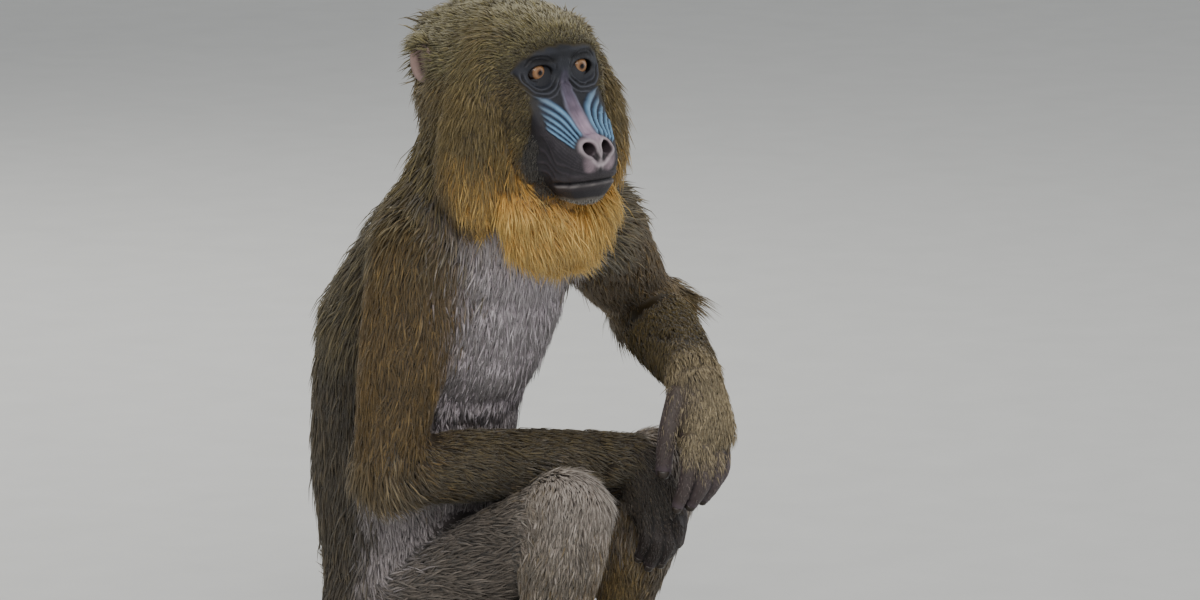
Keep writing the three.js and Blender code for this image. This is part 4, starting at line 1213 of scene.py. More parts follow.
def survey(points):
    """For points on the skin: the way of the hair, the weight of each region, and the nearest part."""
    flow = np.zeros((len(points), 3))
    weights = np.zeros((len(points), len(NAMES)))
    total = np.full(len(points), 1e-9)
    best, owner = np.full(len(points), FAR), np.full(len(points), -1)
    digits = np.full((2, len(points)), FAR)

    def add(near, d, way, split, number):
        w = np.exp(-np.abs(d) / SOFTNESS)
        total[near] += w
        flow[near] += w[:, None] * way
        for region, share in split.items():
            weights[near, NAMES.index(region)] += w * share
        closer = np.abs(d) < best[near]
        best[near[closer]] = np.abs(d)[closer]
        owner[near[closer]] = number

    for number, (name, part) in enumerate(parts.items()):
        near = within(points, part.low, part.high)
        d, share, angle, way = part.locate(points[near])
        sign = -1 if name in REVERSED else 1
        add(near, d, sign * way, part_regions(name, share, angle, points[near]), number)
        if name in digit_names:
            digits[1, near] = np.minimum(digits[1, near], np.maximum(digits[0, near], d))
            digits[0, near] = np.minimum(digits[0, near], d)
    near = round_head(points)
    head = to_head(points[near])
    d, way, alone = head_lie(head)
    # on the bare face and the ears the other parts' say is cut to a ninth
    strong = 1 + 8 * alone
    weights[near] /= strong[:, None]
    flow[near] /= strong[:, None]
    total[near] /= strong
    add(near, d, way, head_regions(head, d), len(parts))
    weights /= np.maximum(weights.sum(1), 1e-9)[:, None]
    flow[:, 2] -= DROOP * total
    crease = (1 - fade(digits[1] - digits[0], 0, CREASE)) * (digits[1] < CREASE)
    return flow, weights, owner, crease


# %% Survey every skin
# hair grows where the skin is drawn in less than this, and this far inside a finer block
BODY_OPEN, HEAD_OPEN = 1.5, 0.6
IN_BLOCK, IN_FACE = 3, 1.5


def normals_of(points, faces):
    """The points' normals, not yet of length 1, and the faces' areas."""
    a, b, c, d = (points[faces[:, k]] for k in range(4))
    across = np.cross(c - a, d - b)
    pull = [sum(np.bincount(faces[:, k], across[:, i], len(points)) for k in range(4)) for i in range(3)]
    return np.stack(pull, 1), np.linalg.norm(across, axis=1) / 2


skin = []
for points, faces, name in shells:
    flow, weights, owner, crease = survey(points)
    normal, area = normals_of(points, faces)
    normal = unit(normal)
    flow = unit(flow - (flow * normal).sum(1)[:, None] * normal)
    if name == "body":
        shown = sunk(points) < BODY_OPEN
    elif name == "head":
        head = to_head(points)
        shown = (depth_in_box(head, HEAD_LOW, HEAD_HIGH) > IN_BLOCK) & (face_sunk(head) < HEAD_OPEN)
    elif name == "face":
        shown = depth_in_box(to_head(points), FACE_LOW, FACE_HIGH) > IN_FACE
    else:
        low, high, _ = FINE[name]
        shown = depth_in_box(points, low, high) > IN_BLOCK
    skin.append((points, faces, normal, flow, weights, owner, shown, area, crease))
    print(name, "faces outwards:", bool((normal * (points - points.mean(0))).sum() > 0))

# %% [markdown]
# ## Colours of the skin
# Under the hair the skin only has to be dark, as the shade between hairs is. The bare face is what one
# looks at: almost black, a little lighter round the eyes, blue on the ridges with dark grooves between
# them, and a bridge that turns from grey-violet at the brow to pink at the nose. Light and shade are
# painted into the skin as well: painted shade under the brow, in the lips' gap, on the lids' inner edges,
# in the folds' troughs, inside the nostrils and in the creases between touching fingers and toes, and
# painted highlights on the folds' crests, the muzzle's wrinkles and the bridge's sides. One could unwrap
# the face and paint a picture for it. Here the colours are laid on the points of the skin by the same
# measures that raised the ridges, so both always agree.

# %% The face's colours
# painted light and shade among these colours: rim is near black and paints shade in the lips' gap, on the
# lids' inner edges, under the brow and in the folds' troughs; nostril paints the shade inside the nostrils;
# fold paints highlights on the folds' crests; sheen paints a sheen on the muzzle's wrinkles; the bridge's
# edge colour paints a highlight along the bridge's sides
FACE = {
    "plain": "#222328", "eyes": "#2c2e35", "crest": "#84b2d6", "crest_back": "#74889c", "groove": "#18233a",
    "bridge_top": "#3c3b48", "bridge_middle": "#63596b", "bridge_low": "#a892a4", "bridge_edge_highlight": "#7d8295",
    "fold": "#55565f", "sheen": "#4d454d",
    "nose": "#cbb3be", "septum": "#e0d0d6", "nostril": "#0b090c", "muzzle": "#2b292d", "lips": "#3a3539",
    "lip_line": "#98928f", "rim": "#100f12", "ear_inside": "#5c4640", "warm": "#352f33",
}
FACE = {name: linear(code) for name, code in FACE.items()}
# how dark the skin is under the hair, as a share of the hair's root colour
UNDERCOAT = 0.62
print(len(FACE), "colours; the ridges' crest is linear", FACE["crest"].round(3).tolist())


def mix(colour, other, amount):
    return colour + (np.asarray(other) - colour) * np.asarray(amount)[:, None]


# %% Paint the ridges, the bridge and the snout
def ridge_paint(points, f):
    """Pale blue crests, greyer at the back, and dark grooves."""
    back = lerp(RIDGE_BACK, f["number"] / RIDGES)
    pale = fade(f["share"], back + 0.02, back + 0.09)
    crest = mix(np.tile(FACE["crest_back"], (len(points), 1)), FACE["crest"], pale)
    groove = np.tile(FACE["groove"], (len(points), 1))
    return mix(groove, crest, f["crest"] ** 1.25 * (0.9 + 0.1 * noise(points, 5, 22)))


def bridge_paint(points, m):
    """Grey-violet at brow, pink at nose, a painted highlight at each side, finely streaked lengthwise."""
    z = m[:, 2]
    drift = -z + 3 * noise(points, 4, 23)
    colour = np.tile(FACE["bridge_top"], (len(points), 1))
    colour = mix(colour, FACE["bridge_middle"], fade(drift, 4, 24))
    colour = mix(colour, FACE["bridge_low"], fade(drift, 22, 46))
    half = np.interp(z, BRIDGE_HEIGHT, BRIDGE_HALF)
    # a painted highlight along each side of the bridge
    colour = mix(colour, FACE["bridge_edge_highlight"], 0.5 * fade(m[:, 0] / half, 0.55, 0.95) * fade(-z, 14, 24))
    streak = noise(points * (1, 0.18, 0.18), 1.1, 24)
    return colour * (1 + 0.22 * streak)[:, None]


def snout_paint(colour, points, m, f):
    """Adds nose, lips and their light line, and painted shade in the lips' gap, round the eyes and in the
    nostrils.
    """
    y, z = m[:, 1], m[:, 2]
    colour = mix(colour, FACE["nose"], (1 - fade(f["nose"], -1.2, 1.8)) * 0.96)
    middle = (1 - fade(m[:, 0], 1.2, 3.2)) * (1 - fade(f["nose"], 0, 2)) * fade(-z, 52, 60)
    colour = mix(colour, FACE["septum"], middle)
    colour = mix(colour, FACE["lips"], f["gape"] * (1 - fade(np.abs(f["mouth"]), 4, 7.5)))
    line = f["gape"] * hill(f["mouth"] + 2.4, 0.9) * (0.6 + 0.4 * noise(points, 4, 25))
    colour = mix(colour, FACE["lip_line"], 0.6 * line)
    # painted shade in the gap between the lips
    colour = mix(colour, FACE["rim"], f["gape"] * hill(f["mouth"], 0.9))
    # painted shade on the lids' inner edges round each eye's opening
    rim = 1 - fade(egg(m, SLOT_AT, (OPENING[0] + 0.5, 20, OPENING[2] + 0.5)), -0.3, 0.9)
    colour = mix(colour, FACE["rim"], rim * (y > -14) * (y < 14))
    hole = nostril(m)
    colour = mix(colour, FACE["septum"], 0.5 * hill(hole - 1.8, 1.2))
    # inside the nostrils the skin is painted near black as the shade in the holes
    return mix(colour, FACE["nostril"], 1 - fade(hole, -0.2, 0.7))


# %% Paint the skin
def face_paint(points):
    """Colours of the bare face, for points in the head's frame."""
    f = face_map(points)
    m = mirrored(points)
    y, z = m[:, 1], m[:, 2]
    colour = np.tile(FACE["plain"], (len(points), 1))
    colour = mix(colour, FACE["warm"], 0.5 * fade(noise(points, 16, 21), -0.2, 0.8))
    colour = mix(colour, FACE["muzzle"], fade(-z, 44, 56) * fade(y, 4, 16))
    colour = mix(colour, FACE["eyes"], (1 - fade(f["eye"], 14, 24)) * f["near_eye"] * 0.9)
    # painted shadow of the heavy brow, on the skin between the brow and the upper lid
    shaded = fade(z, EYE["up"] + 3, EYE["up"] + 9) * (1 - fade(z, 5, 9)) * (1 - fade(f["eye"], 14, 20))
    colour = mix(colour, FACE["rim"], 0.6 * shaded)
    # painted highlights on the crests of the folds round the eyes, weaker under the brow's painted shadow,
    # and painted shade in their troughs
    colour = mix(colour, FACE["fold"], 0.6 * np.clip(f["fold"], 0, 1) ** 2 * (1 - 0.7 * shaded))
    colour = mix(colour, FACE["rim"], 0.8 * np.clip(-f["fold"], 0, 1))
    # a painted sheen on the crests of the muzzle's wrinkles
    colour = mix(colour, FACE["sheen"], 0.45 * np.clip(f["line"], 0, 1) ** 2 + 0.1 * np.abs(f["line"]))
    # painted shadow in the strip just under the brow's edge
    colour = mix(colour, FACE["rim"], 0.85 * f["under_brow"])
    colour = mix(colour, ridge_paint(points, f), f["fan"])
    colour = mix(colour, bridge_paint(points, m), f["bridge"] * 0.96)
    return snout_paint(colour, points, m, f)


def skin_paint(points, weights, crease, name):
    """One shell's colours: dark under hair, the regions' own where bare, the painted face, painted shade in
    creases.
    """
    colour = weights @ (ROOTS * UNDERCOAT)
    colour += weights[:, BARE] @ (ROOTS[BARE] * (1 - UNDERCOAT))
    if name in ("head", "face"):
        head = to_head(points)
        w = weights[:, NAMES.index("face")]
        colour += w[:, None] * (face_paint(head) - ROOTS[NAMES.index("face")])
        x, y, z = mirrored(head).T
        inside = 1 - fade(np.hypot((y - EAR["forward"] - 3) / 8, (z - EAR["up"]) / 11), 0.6, 1.0)
        colour = mix(colour, FACE["ear_inside"], weights[:, NAMES.index("ear")] * inside * fade(x, 54, 57))
    # painted shade darkens the creases between touching fingers and toes; the noise varies the tone at random
    return np.clip(colour * ((1 - 0.75 * crease) * (1 + 0.08 * noise(points, 9, 31)))[:, None], 0, 1)


# %% [markdown]
# ## Materials of skin and hair
# Bare skin is matt to satin leather: fine wrinkles crossed by pores, with a gentle sheen on nose and
# ridges. Hair is a hard, slightly glossy fibre, and a tuft's colour runs from a dark root to a lighter
# tip. Photographs of skin and fur would need an unwrap and show seams. Here both take their colour from
# the values laid on the mesh, and noise in space adds a fine grain that has no seams.

# %% Material helpers
def new_material(name):
    material = bpy.data.materials.new(name)
    material.use_nodes = True
    tree = material.node_tree
    tree.nodes.clear()
    return material, tree


def add_node(tree, kind, settings=None, **inputs):
    """Adds a node with its settings. An input has a name, or a number such as _0; it is set or linked."""
    node = tree.nodes.new(kind)
    for key, value in (settings or {}).items():
        setattr(node, key, value)
    for key, value in inputs.items():
        numbered = key[0] == "_" and key[1:].isdigit()
        socket = node.inputs[int(key[1:]) if numbered else key.replace("_", " ")]
        if isinstance(value, bpy.types.NodeSocket):
            tree.links.new(value, socket)
        else:
            socket.default_value = value
    return node


# noise seldom leaves this range, so it is stretched from it
NOISE_LOW, NOISE_HIGH = 0.3, 0.7


def finish_material(tree, **inputs):
    shader = add_node(tree, "ShaderNodeBsdfPrincipled", **inputs)
    add_node(tree, "ShaderNodeOutputMaterial", Surface=shader.outputs[0])


def grained_tint(tree, size, detail, dark, light):
    """Place in space, noise of the given size, and the mesh's own colour made darker or lighter by it."""
    where = add_node(tree, "ShaderNodeTexCoord").outputs["Object"]
    tint = add_node(tree, "ShaderNodeAttribute", {"attribute_name": "tint"}).outputs["Color"]
    grain = add_node(tree, "ShaderNodeTexNoise", Vector=where, Scale=1 / size, Detail=detail).outputs["Fac"]
    stretch = {"_1": NOISE_LOW, "_2": NOISE_HIGH, "_3": dark, "_4": light}
    shade = add_node(tree, "ShaderNodeMapRange", _0=grain, **stretch).outputs[0]
    times = {"data_type": "RGBA", "blend_type": "MULTIPLY"}
    colour = add_node(tree, "ShaderNodeMix", times, _0=1.0, _6=tint, _7=shade).outputs[2]
    return where, grain, colour


def mottled(tree, size, detail, dark, light):
    """Noise of the given size, and a colour that wavers with it between two hex colours."""
    where = add_node(tree, "ShaderNodeTexCoord").outputs["Object"]
    spots = add_node(tree, "ShaderNodeTexNoise", Vector=where, Scale=1 / size, Detail=detail).outputs["Fac"]
    ramp = add_node(tree, "ShaderNodeValToRGB", Fac=spots)
    for stop, code in zip(ramp.color_ramp.elements, (dark, light)):
        stop.color = (*linear(code), 1)
    return spots, ramp.outputs["Color"]


# %% Bare skin and undercoat
# leathery skin: a broad soft highlight broken by wrinkles and pores, shinier where it is smooth
# fine wrinkles about 2.5 mm apart, pores about 0.8 mm, drawn a little coarse so that they show
WRINKLE, PORE, BLOTCH = 2.5 * MM, 0.8 * MM, 14 * MM
leather, tree = new_material("bare_skin_leathery")
where, blotch, colour = grained_tint(tree, BLOTCH, 4.0, 0.82, 1.15)
pores = add_node(tree, "ShaderNodeTexVoronoi", Vector=where, Scale=1 / PORE).outputs["Distance"]
wrinkles = add_node(tree, "ShaderNodeTexNoise", Vector=where, Scale=1 / WRINKLE, Detail=5.0, Roughness=0.6)
multiply_add, folds = {"operation": "MULTIPLY_ADD"}, wrinkles.outputs["Fac"]
height = add_node(tree, "ShaderNodeMath", multiply_add, _0=folds, _1=0.75, _2=pores).outputs[0]
bump = add_node(tree, "ShaderNodeBump", Height=height, Strength=0.35, Distance=0.5 * MM).outputs[0]
stretch = {"_1": NOISE_LOW, "_2": NOISE_HIGH, "_3": 0.42, "_4": 0.62}
rough = add_node(tree, "ShaderNodeMapRange", _0=blotch, **stretch).outputs[0]
finish_material(tree, Base_Color=colour, Roughness=rough, Normal=bump, IOR=1.42, Specular_IOR_Level=0.45)
print(leather.name, "wrinkles", WRINKLE, "pores", PORE, "blotches", BLOTCH, "m")

# %% Hair
# soft hair: a dull sheen at a low angle instead of a highlight, and streaks as fine as a few hairs
STRAND = 0.6 * MM
hair, tree = new_material("animal_hair_soft")
colour = grained_tint(tree, STRAND, 2.0, 0.85, 1.15)[2]
finish_material(
    tree, Base_Color=colour, Roughness=0.62, IOR=1.5, Specular_IOR_Level=0.3, Sheen_Weight=0.15,
    Sheen_Roughness=0.5,
)
print(hair.name, "streaks", STRAND, "m")


# %% Join the skin
def mesh_object(name, points, faces, colours, material):
    """A smooth mesh from arrays, points in mm, with its colours laid on the points."""
    data = bpy.data.meshes.new(name)
    corners = faces.shape[1]
    data.vertices.add(len(points))
    data.vertices.foreach_set("co", (points * MM).astype(np.float32).ravel())
    data.loops.add(faces.size)
    data.loops.foreach_set("vertex_index", faces.astype(np.int32).ravel())
    data.polygons.add(len(faces))
    data.polygons.foreach_set("loop_start", np.arange(0, faces.size, corners, dtype=np.int32))
    data.polygons.foreach_set("use_smooth", np.full(len(faces), True))
    if colours is not None:
        layer = data.attributes.new("tint", "FLOAT_COLOR", "POINT")
        rgba = np.concatenate([colours, np.ones((len(points), 1))], 1)
        layer.data.foreach_set("color", rgba.astype(np.float32).ravel())
    data.update(calc_edges=True)
    data.validate()
    data.materials.append(material)
    piece = bpy.data.objects.new(name, data)
    scene.collection.objects.link(piece)
    return piece


start, all_points, all_faces, all_colours = 0, [], [], []
for (points, faces, _, _, weights, _, _, _, crease), (_, _, name) in zip(skin, shells):
    all_points.append(points)
    all_faces.append(faces + start)
    all_colours.append(skin_paint(points, weights, crease, name))
    start += len(points)
points, faces, colours = (np.concatenate(rows) for rows in (all_points, all_faces, all_colours))
hide = mesh_object("skin", points, faces, colours, leather)
# the skin stands for every solid of flesh, that is for all but the eyes
FLESH = [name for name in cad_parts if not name.startswith("eye")]
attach(hide, "root")
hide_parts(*FLESH)
print("skin:", len(hide.data.vertices), "points; stands for", len(FLESH), "nodes")

# %% [markdown]
# ## Eyes
# The eyes are large, deep-set and amber: a ball with the clear cornea standing a little proud in front,
# an iris about 11 mm wide with a dark rim, and a round pupil. The animal looks a little to its left. A
# sphere with a picture of an eye would do from afar. The profile turned here has the cornea's bulge, so
# the highlight sits where it does on a real eye, and the iris is coloured by its distance from the middle.

# %% Finish of the eyes
# the iris's and the pupil's radius, and that of the cornea's curve
IRIS, PUPIL, CORNEA = 5.7, 1.5, 7.6
# degrees that the eyes look to the animal's left and down
GAZE_YAW, GAZE_DOWN = 0.5, 1.0
# the iris's fibres are about 0.7 mm apart, coarser than real ones, and fray the rings this far
FIBRES_PER_M, FRAY = 1400.0, 0.6
# the rings' colours are spread over this many mm from the middle
RINGS, RINGS_FROM, RINGS_TO = 8, 0.3, 8.3
# a wet eye: one small sharp highlight over a soft, deep colour
wet, tree = new_material("eye_wet_amber")
where = add_node(tree, "ShaderNodeTexCoord").outputs["Object"]
apart = add_node(tree, "ShaderNodeSeparateXYZ", Vector=where)
flat = add_node(tree, "ShaderNodeCombineXYZ", X=apart.outputs["X"], Y=apart.outputs["Y"], Z=0.0).outputs[0]
out = add_node(tree, "ShaderNodeVectorMath", {"operation": "LENGTH"}, _0=flat).outputs["Value"]
fibres = add_node(tree, "ShaderNodeTexNoise", Vector=where, Scale=FIBRES_PER_M, Detail=3.0).outputs["Fac"]
ragged = add_node(tree, "ShaderNodeMath", multiply_add, _0=fibres, _1=FRAY * MM, _2=out).outputs[0]
spread = {"_1": RINGS_FROM * MM, "_2": RINGS_TO * MM, "_3": 0.0, "_4": 1.0}
place = add_node(tree, "ShaderNodeMapRange", _0=ragged, **spread).outputs[0]
ramp = add_node(tree, "ShaderNodeValToRGB", Fac=place)
# black pupil, brown inner ring, amber iris, dark rim, and the dark ball round it
stops = (
    (0.0, "#070506"), (PUPIL / RINGS - 0.02, "#070506"), (PUPIL / RINGS + 0.04, "#5c3c28"), (0.40, "#a07a58"),
    (0.60, "#86603f"), (0.68, "#2a1a12"), (0.76, "#1a120e"), (1.0, "#241812"),
)
band = ramp.color_ramp
for i, (at, code) in enumerate(stops):
    stop = band.elements[i] if i < 2 else band.elements.new(at)
    stop.position = at
    stop.color = (*linear(code), 1)
finish_material(
    tree, Base_Color=ramp.outputs["Color"], Roughness=0.25, IOR=1.34, Specular_IOR_Level=0.3, Coat_Weight=0.8,
    Coat_Roughness=0.02, Coat_IOR=1.36,
)
print(wet.name, "iris", 2 * IRIS, "mm wide")


# %% Eyeballs
def eyeball(name, centre):
    """A turned ball with its cornea, looking along its own z axis."""
    rounds, radius = 48, EYE["radius"] - 0.3
    edge = math.sqrt(radius**2 - IRIS**2)
    middle = edge - math.sqrt(CORNEA**2 - IRIS**2)
    profile = []
    for a in np.radians(np.linspace(0, 1, 10)[1:] * math.degrees(math.asin(IRIS / CORNEA))):
        profile.append((CORNEA * math.sin(a), middle + CORNEA * math.cos(a)))
    for a in np.linspace(math.asin(IRIS / radius), math.pi, 22)[1:-1]:
        profile.append((radius * math.sin(a), radius * math.cos(a)))
    points = [(0, 0, middle + CORNEA)]
    turns = np.linspace(0, 2 * math.pi, rounds, endpoint=False)
    for r, z in profile:
        points += [(r * math.cos(t), r * math.sin(t), z) for t in turns]
    points.append((0, 0, -radius))
    faces = [(0, 1 + k, 1 + (k + 1) % rounds) for k in range(rounds)]
    for i in range(len(profile) - 1):
        a, b = 1 + i * rounds, 1 + (i + 1) * rounds
        faces += [(a + k, b + k, b + (k + 1) % rounds, a + (k + 1) % rounds) for k in range(rounds)]
    last = 1 + (len(profile) - 1) * rounds
    faces += [(last + k, len(points) - 1, last + (k + 1) % rounds) for k in range(rounds)]
    data = bpy.data.meshes.new(name)
    data.from_pydata([tuple(np.array(p) * MM) for p in points], [], faces)
    data.polygons.foreach_set("use_smooth", [True] * len(faces))
    data.materials.append(wet)
    piece = bpy.data.objects.new(name, data)
    piece.location = Vector(from_head([centre])[0] * MM)
    yaw, down = math.radians(GAZE_YAW), math.radians(GAZE_DOWN)
    ahead = (-math.sin(yaw) * math.cos(down), math.cos(yaw) * math.cos(down), -math.sin(down))
    gaze = HEAD_TURN @ np.array(ahead)
    piece.rotation_euler = Vector(gaze).to_track_quat("Z", "Y").to_euler()
    scene.collection.objects.link(piece)
    return piece


for side, sign in (("right", 1), ("left", -1)):
    ball = eyeball(f"eyeball_{side}", (sign * EYE["across"], EYE["forward"], EYE["up"]))
    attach(ball, "root")
    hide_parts(f"eye_{side}")
    print(ball.name, "at", [round(v, 4) for v in ball.location])

# %% [markdown]
# ## Nails
# A mandrill has flat to arched dark nails, one on each finger and toe. Each is a small curved plate that
# lies on the back of the last joint. A nail could be one plate copied to every tip, but tips differ in
# girth and way, so each plate is drawn from its own digit's last row.

# %% Build the nails
ACROSS, ALONG = 7, 6
# how far the plate's two faces stand off the digit in mm, and how far round it they reach in degrees
NAIL_FACES, NAIL_ARC = (0.5, -0.6), (-42, 42)
# where the nail begins, how long it is and how round its end is, in the tip's radius
NAIL_BACK, NAIL_LONG, NAIL_ROUND, NAIL_HOOK = -0.25, 1.2, 0.3, 0.34
# horn: darker and glossier than skin, with faint streaks about 1.5 mm wide
horn, tree = new_material("nail_horn_dark")
grain, colour = mottled(tree, 1.5 * MM, 4.0, "#1c1815", "#4a4038")
bump = add_node(tree, "ShaderNodeBump", Height=grain, Strength=0.2, Distance=0.3 * MM).outputs[0]
finish_material(tree, Base_Color=colour, Roughness=0.34, Normal=bump, IOR=1.54)


def nail(part, tip_radius):
    """Points and faces of one nail on the last joint of a digit."""
    centre, way, side, front = part.centre[-1], part.way[-1], part.side[-1], part.front[-1]
    radius = tip_radius + 0.1
    layers = []
    for proud in NAIL_FACES:
        for i in range(ALONG):
            s = i / (ALONG - 1)
            for k in range(ACROSS):
                a = math.radians(lerp(NAIL_ARC, k / (ACROSS - 1))) * (1 - 0.18 * s * s)
                r = radius + proud * (1 - 0.2 * s)
                reach = (NAIL_BACK + s * NAIL_LONG - NAIL_ROUND * s * (math.sin(a) ** 2) * 2) * tip_radius
                bend = NAIL_HOOK * tip_radius * max(s - 0.45, 0) ** 2 * 4
                across, out = r * math.sin(a), r * math.cos(a) - bend
                layers.append(centre + way * reach + side * across + front * out)
    n = ACROSS * ALONG
    faces = []
    for i in range(ALONG - 1):
        for k in range(ACROSS - 1):
            a = i * ACROSS + k
            faces.append((a, a + 1, a + ACROSS + 1, a + ACROSS))
            faces.append((n + a, n + a + ACROSS, n + a + ACROSS + 1, n + a + 1))
    ring = list(range(ACROSS)) + [i * ACROSS + ACROSS - 1 for i in range(1, ALONG)]
    ring += [(ALONG - 1) * ACROSS + k for k in range(ACROSS - 2, -1, -1)]
    ring += [i * ACROSS for i in range(ALONG - 2, 0, -1)]
    for a, b in zip(ring, ring[1:] + ring[:1]):
        faces.append((a, n + a, n + b, b))
    return np.array(layers), np.array(faces)


points, faces, start = [], [], 0
for name, part in parts.items():
    kind = name.rsplit("_", 1)[0]
    if kind in HANDS["left"] or kind.startswith("toe"):
        p, f = nail(part, part.girth[-1].mean())
        points.append(p)
        faces.append(f + start)
        start += len(p)
nails = mesh_object("nails", np.concatenate(points), np.concatenate(faces), None, horn)
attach(nails, "root")
print("nails:", len(points))

# %% [markdown]
# ## The coat
# Hair that is modelled one by one would need millions of curves, and curves don't survive the export. So
# each tuft is a thin closed blade of a few flat sides that tapers to a point, about as wide as a lock of
# wet hair is thick. Tufts root in the skin, lie along the hair's way, overlap by many layers, lift a
# little, and bend back to the body at their tips. Their number, length and width come from their region.

# %% Plant the roots
rng = np.random.default_rng(20)


def plant(points, faces, normal, flow, weights, owner, shown, area, crease):
    """Draws the roots of all tufts of one shell and reads there what the shell knows."""
    size = weights @ SIZES
    hairy = 1 - weights[:, BARE].sum(1)
    # no hair on bare skin, under a finer skin, between digits, or where the skin stands on the floor
    density = size[:, 3] * fade(hairy, 0.3, 0.7) * shown * (crease < 0.3) * fade(points[:, 2], 3, 9)
    number = area * density[faces].mean(1)
    count = np.floor(number + rng.random(len(faces))).astype(int)
    of = np.repeat(np.arange(len(faces)), count)
    u, v = rng.random((2, len(of)))
    share = np.stack([(1 - u) * (1 - v), u * (1 - v), u * v, (1 - u) * v], 1)
    values = np.concatenate([points, normal, flow, weights], 1)
    values = sum(share[:, k : k + 1] * values[faces[of, k]] for k in range(4))
    return values, owner[faces[of, 0]]


roots, owners = [], []
for shell in skin:
    r, o = plant(*shell)
    roots.append(r)
    owners.append(o)
roots, owners = np.concatenate(roots), np.concatenate(owners)
print("tufts:", len(roots))

# %% [markdown]
# ## Shape of the tufts
# Neighbouring tufts lean together, so the coat shows soft locks as real fur does, and no two are alike.
# Smooth noise gives what neighbours share, and a random draw for each tuft gives what is its own.

# %% Size and way of each tuft
# how freely a tuft takes after one of the regions that meet at its root, and how little after bare skin
MIXED, FROM_BARE = 0.8, 0.02
# how far tufts lean sideways: in broad locks, in small locks and each by itself, and at most
LEAN_BROAD, LEAN_SMALL, LEAN_OWN, LEAN_MOST = 0.28, 0.24, 0.20, 0.8
part_names = list(parts) + ["skull"]
root, normal, flow, weights = roots[:, :3], unit(roots[:, 3:6]), roots[:, 6:9], roots[:, 9:]
weights[:, BARE] *= FROM_BARE
weights = weights * np.exp(MIXED * rng.gumbel(size=weights.shape))
weights = weights / weights.sum(1)[:, None]
length, width, lift, _ = (weights @ SIZES).T
flow = unit(flow - (flow * normal).sum(1)[:, None] * normal)
side = np.cross(normal, flow)
lean = LEAN_BROAD * noise(root, 18, 41) + LEAN_SMALL * noise(root, 6, 42)
lean = lean + LEAN_OWN * rng.normal(size=len(root))
way = unit(flow + side * np.clip(lean, -LEAN_MOST, LEAN_MOST)[:, None])


def varied(values, spread, patch, low, high):
    """The values, each made larger or smaller by chance and by what its neighbours share."""
    return values * np.clip(1 + spread * rng.normal(size=len(root)) + patch, low, high)


length = varied(length, 0.2, 0.12 * noise(root, 9, 43), 0.5, 1.6)
lift = varied(lift, 0.4, 0.3 * noise(root, 8, 44), 0.2, 2.2)
width = varied(width, 0.2, 0, 0.6, 1.5)

# %% Short hair round the face, and the elbow's wisp
# the hair is this short where it borders on the bare face, and full within these distances from it
EDGE_SHORT, FULL_BEHIND, FULL_ABOVE = 0.35, (-2, 34), (-2, 22)
# a wisp stands out where the left elbow is bent: its place, radius and way, and how it differs
WISP_AT, WISP_REACH, WISP_WAY = (214, -60, 301), 9.0, (1, -0.6, 0.05)
WISP_TURN, WISP_LONGER, WISP_FLATTER = 1.4, 0.8, 0.6
head = to_head(root)
on_head = owners == len(parts)
edge = np.interp(head[:, 2], EDGE_HEIGHT, EDGE_FORWARD) - head[:, 1]
above = head[:, 2] - hairline(np.abs(head[:, 0]))
full = np.clip(fade(edge, *FULL_BEHIND) + fade(above, *FULL_ABOVE) * (above > FULL_ABOVE[0]), 0, 1)
short = np.where(on_head, EDGE_SHORT + (1 - EDGE_SHORT) * full, 1)
length, width = length * short, width * (0.6 + 0.4 * short)
wisp = np.exp(-0.5 * ((root - WISP_AT) ** 2).sum(1) / WISP_REACH**2)
way = unit(way + WISP_TURN * wisp[:, None] * unit(np.array(WISP_WAY)))
side = unit(np.cross(normal, way))
length, lift = length * (1 + WISP_LONGER * wisp), lift * (1 - WISP_FLATTER * wisp)
print("tufts, mm long: shortest", round(length.min(), 1), "longest", round(length.max(), 1))

# %% [markdown]
# ## One tuft as a mesh
# A tuft is a closed blade: a root point under the skin, one or two three-sided rings, and a tip. It rises
# from the skin and then bends back. Short tufts have one ring, and only long ones get the second.

# %% Blades
SINK, LONG = 1.2, 26.0
# where along a tuft its rings are, their widths, and how thick a blade is for its half-width
SHORT_STEPS, LONG_STEPS = (0.0, 0.42, 1.0), (0.0, 0.3, 0.68, 1.0)
RING_WIDTHS, THICK = (1.0, 0.7), 0.7
# how a tuft rises and bends back, how far its tip hangs, and the height it keeps over the floor
RISE, BEND, HANG, OVER_FLOOR = 1.5, 0.75, 0.06, 0.5
long = length > LONG


def tuft_mesh(pick, steps):
    """Closed blades for the picked tufts: points, triangles, how far each point is along, and its tuft."""
    n, rings = len(pick), len(steps) - 2
    L, W, up = (a[pick][:, None] for a in (length, width, lift))
    points = [root[pick] - normal[pick] * SINK]
    for s, share in zip(steps[1:-1], RING_WIDTHS):
        centre = root[pick] + way[pick] * (L * s) + normal[pick] * (up * (RISE * s - BEND * s * s) * L)
        wide = W * share * 0.5
        crest = centre + normal[pick] * wide * THICK
        points += [centre - side[pick] * wide, crest, centre + side[pick] * wide]
    tip = root[pick] + way[pick] * L + normal[pick] * (up * (RISE - BEND) * L)
    points.append(tip - np.array((0, 0, HANG)) * L)
    points = np.stack(points, 1)
    per = points.shape[1]
    points[..., 2] = np.maximum(points[..., 2], OVER_FLOOR)
    tris = [(0, 1 + (k + 1) % 3, 1 + k) for k in range(3)]
    for r in range(rings - 1):
        a, b = 1 + 3 * r, 4 + 3 * r
        for k in range(3):
            j = (k + 1) % 3
            tris += [(a + k, a + j, b + j), (a + k, b + j, b + k)]
    a = per - 4
    tris += [(a + k, a + (k + 1) % 3, per - 1) for k in range(3)]
    faces = (np.arange(n)[:, None, None] * per + np.array(tris)[None]).reshape(-1, 3)
    along = np.array([0.0] + [s for s in steps[1:-1] for _ in range(3)] + [1.0])
    return points.reshape(-1, 3), faces, np.tile(along, n), np.repeat(pick, per)


